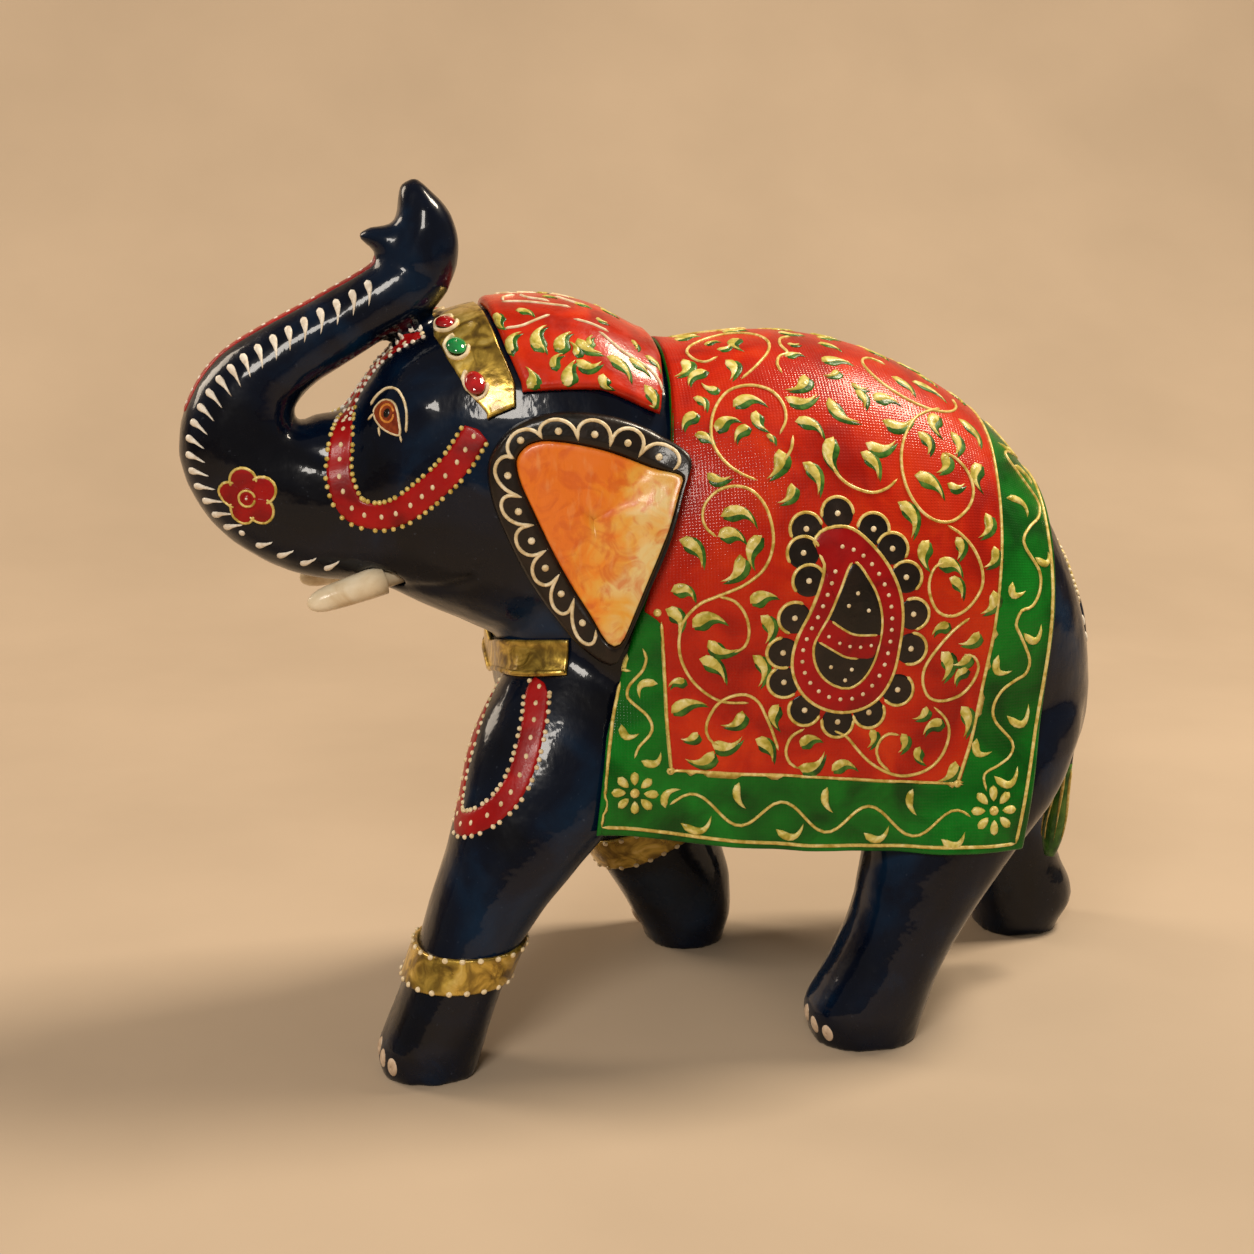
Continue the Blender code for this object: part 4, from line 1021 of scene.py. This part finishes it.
# ---------------------------------------------------------------- designs on the cap
CAP_VINES = [
    [(-44, 19.8), (-40, 19.5), (-36, 17.5), (-33, 15.8)], [(-43, 8), (-38, 9), (-33, 10.5), (-27.5, 11.2)],
    [(-27.8, 17), (-24, 18), (-20, 19.3)], [(-22.5, 20.3), (-18, 24.5), (-14.5, 25.5), (-11, 27), (-8.9, 31)],
    [(-42.5, 7), (-42, 4), (-39, 2.2)], [(-38, 2), (-36.5, 6), (-32, 8.5)], [(-30, 3), (-27, 6.5), (-23, 8)],
]
CAP_LEAVES = [
    (-46, 13.5, -46.8, 18.5), (-44.2, 14.5, -43.8, 20), (-40.5, 13.5, -37, 16.5),
    (-43.3, 27.5, -40.2, 21.5, 0.25), (-36.4, 27.3, -34.2, 19.8, 0.25), (-32, 28, -28.8, 22),
    (-34, 32.2, -31.5, 28.3), (-29, 29, -30, 25), (-31, 37, -29, 30, 0.15), (-28.8, 30, -23, 30, -0.3),
    (-27.8, 24, -22.5, 27.7, -0.2), (-25, 26, -24, 22.5), (-21.7, 28.2, -17, 33), (-23, 33.3, -21, 38),
    (-16.5, 26.5, -12, 29), (-13.5, 32, -13, 38.5), (-40.3, 36.5, -40.3, 31), (-14.5, 18.5, -14.2, 22),
    (-12, 22.5, -9.2, 26), (-22, 14.5, -19.5, 15.5), (-26, 8, -22.5, 9), (-33, 4.5, -30, 5.5),
    (-19, 4, -15.5, 6.5), (-38.5, 24.8, -35.6, 28),
]


def paint_cap(wrap, surface):
    """Leaves and thin cream vines on both sides of the cap."""
    vines, leaf, green = (Paint("cap_" + name, surface, material) for name, material in
                          (("vines", "cream"), ("leaves", "leaf_gold"), ("leaf_shadows", "leaf_green")))
    for _, side in SIDES:
        at = wrap.on_side(side)
        for line in CAP_VINES:
            vines.stroke(at(curve(line, 0.8)), 0.34, 0.4)
        for number, entry in enumerate(CAP_LEAVES):
            lay_leaf(leaf, green, at, entry, number)
    for coat in (vines, leaf, green):
        coat.make()


# ---------------------------------------------------------------- stones, ears, tusks and tail
# x, degrees round the head's axis, half length, half width and colour, as in the CAD
STONES = [(-56.2, 77, 2.9, 2.4, "red"), (-54.8, 65, 3.2, 2.4, "green"), (-51.6, 51.5, 3.5, 2.4, "red")]
STONE_HEIGHT, STONE_SEAT, STONE_SIDES = 1.4, 0.25, 32


def make_stones(surface):
    """Glass cabochons on the headband, each in a cream ring."""
    rings = Paint("stone_rings", surface, "cream")
    for name, side in SIDES:
        for number, (x, degrees, half_length, half_width, color) in enumerate(STONES, 1):
            angle = math.radians(degrees)
            outward, along = np.array([0, side * math.cos(angle), math.sin(angle)]), np.array([1, 0, 0])
            across = np.cross(outward, along)
            base = np.array([x, 0, HEAD_AXIS_Z])
            seat = base + outward * (surface.reach(base, outward) + STONE_SEAT)
            turns = np.linspace(0, 2 * math.pi, STONE_SIDES + 1)
            rim = along * half_width * np.cos(turns)[:, None] + across * half_length * np.sin(turns)[:, None]
            rings.stroke(seat + rim * 1.17, 0.45, 0.8)
            shares = np.cos(np.linspace(0, math.pi / 2 * 0.97, 9))
            heights = STONE_HEIGHT * np.sqrt(1 - shares ** 2)
            top = seat + rim[:-1, None] * shares[None, :, None] + outward * heights[None, :, None]
            low = seat + rim[:-1, None] * shares[None, :, None] - outward * 0.05
            add_skin(f"{color}_cabochon_{name}_{number}", low, top, True, color + "_glass",
                     f"stone_{name}_{number}")
    rings.make()


EAR_CENTRE = np.array([-27, 127])
EAR_OUTLINE = [
    (-46.1, 145.8), (-40.6, 149.3), (-33.6, 150.7), (-25.6, 150.3), (-17.6, 148.3), (-11.1, 145.1),
    (-5.1, 140.8), (-7.0, 134.3), (-10.8, 122.3), (-15.7, 110.8), (-20.7, 98.8), (-23.1, 93.3),
    (-28.1, 95.7), (-34.1, 102.3), (-40.8, 112.3), (-45.6, 121.9), (-49.1, 131.1), (-49.8, 139.3),
]
EAR_PANEL = [
    (-43.3, 141.6), (-38, 144.6), (-25.3, 142.6), (-14, 138.3), (-6.4, 135.2), (-11, 121.4), (-16.3, 108.8),
    (-22.6, 98), (-28, 105.6), (-34.6, 117), (-40, 128.5), (-43.3, 136.5),
]
# how deep the leaf and its panel lie below the CAD's face, at shares of the way out
EAR_SINK = [(1, 1.3), (1.12, 0), (1.8, 0), (1.92, 0.2), (1.98, 0.7), (2, 1.3)]
PANEL_SINK = [(0.9, 0.45), (0.96, 0.3), (0.99, 0.5), (1, 0.9)]
EAR_THICKNESS, PANEL_DEPTH = 3.4, 1.6
SCALLOPS = 11
SCALLOPS_FROM, SCALLOPS_TO = 32.1, 271     # degrees round the ear
SCALLOP_INSET = 3


def polar(outline):
    """Radius of a closed outline at an angle round the ear's centre."""
    arms = curve(outline, 1.2, closed=True) - EAR_CENTRE
    angles = np.arctan2(arms[:, 1], arms[:, 0])
    order = np.argsort(angles)
    return lambda angle: np.interp(angle, angles[order], np.hypot(*arms[order].T), period=2 * math.pi)


def make_ear(name, side):
    """A thick dark leaf with a recessed, brush-streaked panel and cream scallops round its rim."""
    outer, panel = polar(EAR_OUTLINE), polar(EAR_PANEL)

    def spot(angle, share):
        """Share 0 to 1 lies on the panel, 1 to 2 on the rim round it."""
        edge = outer(angle) - 0.15
        inner = min(panel(angle), edge - 0.9)
        radius = inner * share if share <= 1 else inner + (edge - inner) * (share - 1)
        x, z = EAR_CENTRE + radius * np.array([math.cos(angle), math.sin(angle)])
        return (x, 0, z), (0, side, 0)

    turns = np.linspace(0, 2 * math.pi, 150, endpoint=False)
    rim_shares = np.array([0.003, 0.25, 0.5, 0.75, 0.93, 1, 1.04, 1.12, 1.3, 1.6, 1.8, 1.92, 1.98, 2])
    sunk = look_up(EAR_SINK, rim_shares)
    face = Wrap("ear_" + name, spot, turns, rim_shares, 3, wrap=True)
    front, back = face.outer - face.outward * sunk[:, None], face.outer - face.outward * EAR_THICKNESS
    leaf = add_skin(f"ear_{name}_leaf", back, front, True, "black", "ear_" + name)
    panel_shares = np.array([0.003, 0.2, 0.4, 0.6, 0.8, 0.9, 0.96, 0.99, 1])
    drop = look_up(PANEL_SINK, panel_shares)
    inlay = Wrap("ear_" + name, spot, turns, panel_shares * 0.995, 3, wrap=True)
    front, back = inlay.outer - inlay.outward * drop[:, None], inlay.outer - inlay.outward * PANEL_DEPTH
    add_skin(f"ear_{name}_panel", back, front, True, "ear")
    surface = Surface(leaf)

    def on_ear(angle, share):
        base, outward = spot(angle, share)
        return np.array(base) + np.array(outward) * ((surface.reach(base, outward) or 30) + 0.02)

    lines = Paint(f"ear_{name}_scallops", surface, "cream")
    angles = np.radians(np.linspace(SCALLOPS_FROM, SCALLOPS_TO, 400))
    arms = np.column_stack([np.cos(angles), np.sin(angles)]) * (outer(angles) - SCALLOP_INSET)[:, None]
    along = arc_length(arms)
    marks = np.interp(np.linspace(0, along[-1], SCALLOPS + 1), along, angles)
    for low, high in zip(marks, marks[1:]):
        turn = np.linspace(0, math.pi, 17)
        middle, half = (low + high) / 2, (high - low) / 2
        bow = [on_ear(middle + half * math.cos(t), 1.1 + 0.74 * math.sin(t) ** 0.75) for t in turn]
        lines.stroke(bow, 0.42, 0.5)
        lines.dots([on_ear(middle, 1.42)], 0.85, 0.6)
    lines.make()


TUSK_ROOT, TUSK_TIP = np.array([-71.5, -11.3, 109.8]), np.array([-89.5, -14.5, 105])
TUSK_SIDES = 40
# distance from the root and radius; the first two rows are the tenon
TUSK_PROFILE = [
    (-7, 2.2), (0.25, 2.2), (0.35, 3.5), (4, 3.45), (9, 3.25), (13, 3.0), (15.5, 2.7), (17.3, 2.15),
    (18.4, 1.4), (18.9, 0.7), (19.0, 0.1),
]


def tube(path, radii, sides):
    """Rings of points square to a path."""
    tangents = unit(np.gradient(path, axis=0))
    across = unit(np.cross(tangents, (0.02, 1, 0.01)))
    up = np.cross(tangents, across)
    turns = np.linspace(0, 2 * math.pi, sides, endpoint=False)
    arms = across[:, None] * np.cos(turns)[None, :, None] + up[:, None] * np.sin(turns)[None, :, None]
    return path[:, None] + arms * np.asarray(radii)[:, None, None]


def add_tube(name, rings, material, replaces=None):
    """Make a piece that is a closed tube through rings of points."""
    count, sides = rings.shape[:2]
    grid = np.arange(count * sides).reshape(count, sides)
    after = np.roll(grid, -1, axis=1)
    faces = np.stack([grid[:-1], after[:-1], after[1:], grid[1:]], axis=-1).reshape(-1, 4).tolist()
    faces += [grid[0].tolist(), grid[-1].tolist()]
    return add_piece(name, rings.reshape(-1, 3), faces, material, replaces)


def make_tusk(name, side):
    """A short blunt tusk with its round tenon."""
    root, tip = TUSK_ROOT * (1, -side, 1), TUSK_TIP * (1, -side, 1)
    axis = unit(tip - root)
    path = np.array([root + axis * distance for distance, _ in TUSK_PROFILE])
    rings = tube(path, [radius for _, radius in TUSK_PROFILE], TUSK_SIDES)
    add_tube(f"tusk_{name}_ivory", rings, "ivory", "tusk_" + name)


# centre line and radius
TAIL = [
    (98, 0, 103.5, 1.6), (100.2, 0, 97.5, 2.2), (102.1, 0, 92, 2.3), (103.3, 0, 85, 2.3), (103.4, 0, 76, 2.2),
    (102.4, 0, 62, 1.9), (101, 0, 48, 2), (99.6, 0, 38, 2.8), (98.8, 0, 32, 2.4), (98.4, 0, 27.7, 1.2),
]
TAIL_SIDES = 24
TUFT_TOP, TUFT_HAIRS = 53, 7


def make_tail():
    """Thin tail with a painted tuft."""
    rows = curve(TAIL, 1.5)
    rings = tube(rows[:, :3], rows[:, 3], TAIL_SIDES)
    tail = add_tube("tail_carved", rings, "lacquer", "tail")
    tuft = rows[rows[:, 2] < TUFT_TOP]
    sleeve = tube(tuft[:, :3], tuft[:, 3] + np.linspace(0.02, 0.15, len(tuft)), TAIL_SIDES)
    add_tube("tail_tuft_paint", sleeve, "pad_green")
    hairs = Paint("tail_tuft_strokes", Surface(tail), "gold")
    for turn in np.arange(TUFT_HAIRS) * 2 * math.pi / TUFT_HAIRS:
        aside = np.array([math.cos(turn), math.sin(turn), 0])
        hairs.stroke([row[:3] + aside * (row[3] + 0.3) for row in tuft[1:-2]], 0.42, 0.45, LEAF)
    hairs.make()


# ---------------------------------------------------------------- paint on the block; the left side is listed
# centre line of the trunk: x, z, half thickness and half width
TRUNK = [
    (-66, 127.6, 21, 19), (-74, 127.6, 19.8, 17.5), (-86, 128.2, 19.2, 15.5), (-96.8, 132, 16.5, 14),
    (-103, 141, 14.4, 13), (-100.5, 152.3, 11.3, 12), (-92.5, 160, 9, 11), (-82, 166, 8.3, 10.2),
    (-72.8, 171.2, 8, 9.6), (-64.5, 176, 8.6, 9.4),
]
# distances along the trunk's outer edge
COMMA_MARKS = (20, 26, 32, 38)          # the four long strokes under the jaw
COMMA_DOT, COMMA_SPACING = 42.7, 4.15
BEND = (72, 92)                         # between these the strokes move in from the edge
STRIPE_START = 0.56                     # share of the edge where the red stripe begins
EYE_CENTRE, EYE_RIGHT, EYE_UP = (-70.4, -17.2, 149.1), (0.89, -0.68, 0.12), (0.12, 0.58, 0.89)
EYE_ALMOND = [
    (-3.4, 0.2), (-3.2, 1.4), (-1.6, 2.7), (0.1, 3.0), (1.6, 2.2), (2.4, 0.2), (2.6, -2.3), (2.4, -4.9),
    (0.8, -4.7), (-1.3, -3.4), (-2.8, -1.5),
]
EYE_BROW = [(-4.6, 2.4), (-2.9, 4.4), (0, 5.7), (2.6, 4.9), (4.1, 2.2), (4.3, -1.5), (3.9, -4.5)]
EYE_TICKS = [[(-3.4, 0.4), (-5.4, -1.0)], [(-2.4, -2.6), (-2.5, -5.0)], [(2.5, -4.9), (2.6, -6.8)]]
FLOWER_CENTRE = (-102.6, 14, 130)
PETALS, PETAL_TURN, PETAL_REACH = 5, 1.85, 4.1
# ribbons of paint, from end to end
FACE_BAND = [
    (-51.3, -27, 146.4), (-56.5, -26.3, 138.5), (-62, -24.3, 132.7), (-68.6, -21.1, 127.3),
    (-74, -18.2, 125.8), (-79, -16.5, 127.7), (-81.5, -15.5, 134.1), (-81.1, -12.9, 140.5),
    (-78, -4.8, 148.4),
]
BROW_BAND = [
    (-79.8, -8, 144.6), (-78, -4.8, 148.4), (-72.5, -1.8, 156.6), (-66.9, -4.8, 163.2), (-61.5, -6.5, 166.3),
]
GARLAND = [
    (-37.6, -30.5, 88.5), (-39, -30.5, 86.4), (-40.3, -34.2, 80.5), (-43, -38, 72.4), (-46.5, -39.6, 65.4),
    (-51.4, -38.5, 59.8), (-55.5, -35, 56.8), (-57.8, -31, 57), (-57.4, -27.5, 61), (-55.4, -25.6, 66),
    (-51.9, -23, 73.5), (-48.8, -18.5, 79.1), (-46, -12, 84),
]
# height, and how far back the right leg stands at it
GARLAND_SHIFT = [(54, 26), (60, 22), (76, 11), (90, 1)]
TOENAILS = [(0, 4.6), (19, 3.2), (38, 2.4)]     # degrees round the foot from its front, and height
# foot centres and half sizes, as in the CAD
FEET = [(-65.6, -35, 12.2, 13), (10, 38, 12.4, 13), (38.9, -35, 14.5, 13.8), (102, 30, 13.4, 13.4)]


def trunk_place(rows, arc, marks, out, side):
    """Points on the trunk's skin; out is the distance from the centre plane of its thickness."""
    x, z, thick, wide = (np.interp(marks, arc, rows[:, k]) for k in range(4))
    dx, dz = (np.interp(marks, arc, np.gradient(rows[:, k])) for k in (0, 1))
    size = np.hypot(dx, dz)
    y = wide * np.maximum(1 - np.minimum(np.abs(out) / thick, 1) ** 2.3, 0) ** (1 / 2.3)
    return np.column_stack([x - dz / size * out, side * y, z + dx / size * out])


def paint_trunk(white, red):
    """Comma strokes along the outer edge of the trunk, and a dotted red stripe down its front."""
    rows = curve(TRUNK, 0.8)
    outer = rows[:, :2] + unit(np.gradient(rows[:, :2], axis=0))[:, ::-1] * (-1, 1) * rows[:, 2:3]
    arc = arc_length(outer)
    t = np.linspace(0, 1, 13)
    marks = (*COMMA_MARKS, *np.arange(COMMA_DOT + 3.8, arc[-1] - 5.5, COMMA_SPACING))
    for _, side in SIDES:
        for mark in marks:
            low = mark in COMMA_MARKS
            share = 0.8 if low else np.interp(mark, BEND, (0.9, 0.8))
            head = share * np.interp(mark, arc, rows[:, 2])
            length = np.interp(mark, BEND, (4, 5))
            back, inward = (3.6 * t ** 1.2, 2.6 * t ** 1.6) if low else (2.6 * t ** 1.7, length * t)
            white.stroke(trunk_place(rows, arc, mark - back, head - inward, side), 0.86, 0.5, COMMA)
        dot = 0.76 * np.interp([COMMA_DOT], arc, rows[:, 2])
        white.dots(trunk_place(rows, arc, [COMMA_DOT], dot, side), 0.8, 0.5)
    stripe = np.arange(arc[-1] * STRIPE_START, arc[-1] - 1, 0.8)
    thick = np.interp(stripe, arc, rows[:, 2])
    spine = trunk_place(rows, arc, stripe, thick * 0.998, 1) * (1, 0, 1)
    red.stroke(spine, 2.6, 0.2, flat=True)
    white.dots(spine[3::4], 0.6, 0.45)


def paint_eye(pieces, side):
    """Almond eye under a bent brow line."""
    right, up = np.array(EYE_RIGHT), np.array(EYE_UP)

    def at(path):
        path = np.array(path, float)
        return (np.array(EYE_CENTRE) + path[:, :1] * right + path[:, 1:] * up) * (1, -side, 1)

    outline = curve(EYE_ALMOND, 0.4, closed=True)
    pieces["brown"].fill(at(outline), 0.25)
    pieces["cream"].stroke(at(looped(outline)), 0.27, 0.5)
    pieces["orange"].stroke(at(around((0, 0), 1.55, 30, 0, 2 * math.pi + 0.2) * (1, 1.25)), 0.32, 0.5)
    pieces["black"].dots(at([(0, 0)]), 1.0, 0.5, 1.3, sides=20)
    pieces["cream"].stroke(at(curve(EYE_BROW, 0.5)), 0.3, 0.5)
    for line in EYE_TICKS:
        pieces["cream"].stroke(at(curve(line, 0.5)), 0.25, 0.45)


def paint_flower(pieces, side):
    """Five round red petals outlined in gold on the side of the trunk."""
    def at(path):
        path = np.array(path, float)
        x, y, z = FLOWER_CENTRE
        return np.column_stack([x + path[:, 0], np.full(len(path), y * side), z + path[:, 1]])

    for number in range(PETALS):
        turn = math.radians(100 + 360 / PETALS * number)
        centre = PETAL_REACH * np.array([math.cos(turn), math.sin(turn)])
        pieces["red"].fill(at(around(centre, 3.0)), 0.2 + 0.02 * (number % 2))
        pieces["gold"].stroke(at(around(centre, 3.1, 28, turn - PETAL_TURN, turn + PETAL_TURN)), 0.34, 0.5)
    pieces["red"].fill(at(around((0, 0), 2.6)), 0.3)
    pieces["gold"].stroke(at(around((0, 0), 1.9, 30, 0, 2 * math.pi + 0.2)), 0.34, 0.6)
    pieces["red"].dots(at([(0, 0)]), 1.2, 0.8, sides=18)
    pieces["white"].dots(at([(0, 0.1)]), 0.45, 1.05)


def dotted_band(pieces, surface, path, half_width, ends, spacing, edge="gold", middle="cream"):
    """A red ribbon of paint with dots along both edges and down the middle."""
    path = curve(path, 0.8)
    points, normals = surface.settle(path)
    across = unit(np.cross(normals, unit(np.gradient(points, axis=0))))
    widths = half_width * np.interp(np.linspace(0, 1, len(points)), np.linspace(0, 1, len(ends)), ends)
    pieces["red"].stroke(path, half_width, 0.2, ends, flat=True)
    along = arc_length(points)
    picks = np.searchsorted(along, np.arange(0.5 * spacing, along[-1], spacing)).clip(0, len(points) - 1)
    aside = across[picks] * (widths[picks] + 0.25)[:, None]
    for offset in (-aside, aside):
        pieces[edge].dots(points[picks] + offset, 0.6, 0.55)
    pieces[middle].dots(points[picks[::2]], 0.55, 0.5, 1.3)


PAD_CENTRE, PAD_HALF_WIDTH, PAD_HALF_HEIGHT = np.array([112, 0, 112]), 26, 12
DROPS = [(103, 22, 96), (103, 22, 91.5)]


def paint_rump(pieces):
    """Green pad on the rump with a gold flower and a row of dots round it, and white drops below its ends."""
    turns = np.linspace(0, 2 * math.pi, 48, endpoint=False)
    pad = np.column_stack([0 * turns, PAD_HALF_WIDTH * np.cos(turns), PAD_HALF_HEIGHT * np.sin(turns)])
    pieces["green"].fill(PAD_CENTRE + pad, 0.2)
    pieces["gold"].stroke(PAD_CENTRE + looped(pad), 0.4, 0.45)
    pieces["cream"].dots(PAD_CENTRE + 1.12 * pad, 0.6, 0.5)
    for arm in pad[::4]:
        pieces["gold"].stroke(PAD_CENTRE + arm * np.linspace(0.25, 0.82, 9)[:, None], 1.0, 0.45, LEAF)
    pieces["gold"].dots([PAD_CENTRE], 1.3, 0.6)
    for _, side in SIDES:
        pieces["white"].dots(np.array(DROPS) * (1, side, 1), 0.8, 0.5, 1.8)


def paint_block(surface):
    """Everything brushed straight onto the lacquered block."""
    materials = {"red": "band_red", "green": "pad_green"}
    pieces = {key: Paint("block_" + key, surface, materials.get(key, key))
              for key in ("white", "red", "gold", "cream", "brown", "orange", "black", "green", "nail")}
    paint_trunk(pieces["white"], pieces["red"])
    for _, side in SIDES:
        paint_eye(pieces, side)
        paint_flower(pieces, side)
        dotted_band(pieces, surface, mirrored(FACE_BAND, side), 3.1, (1, 1, 0.95, 0.7), 1.9)
        dotted_band(pieces, surface, mirrored(BROW_BAND, side), 1.5, (1.2, 1, 1, 1), 2.1, "white")
        garland = np.array(mirrored(GARLAND, side))
        if side > 0:
            garland[:, 0] += look_up(GARLAND_SHIFT, garland[:, 2])
        dotted_band(pieces, surface, garland, 2.8, (1, 1), 2.1, "cream")
    for x, y, half_length, half_width in FEET:
        outside = math.copysign(1, y)
        for degrees, z in TOENAILS:
            angle = math.radians(degrees)
            at = (x - half_length * math.cos(angle), y + outside * half_width * math.sin(angle), z)
            pieces["nail"].dots([at], 1.6, 0.45, 1.4, sides=16)
    paint_rump(pieces)
    for piece in pieces.values():
        piece.make()


def main():
    make_studio()
    block = carve_block()
    wrap, cloth = make_cloth()
    field = make_field(wrap, cloth)
    paint_cloth(wrap, Surface(cloth, field))
    cap_wrap, cap = make_cap()
    paint_cap(cap_wrap, Surface(cap))
    band = make_headband()
    make_stones(Surface(band))
    make_collar()
    for name, side in SIDES:
        make_anklet(name)
        make_ear(name, side)
        make_tusk(name, side)
    make_tail()
    paint_block(Surface(block))


make_camera()
main()
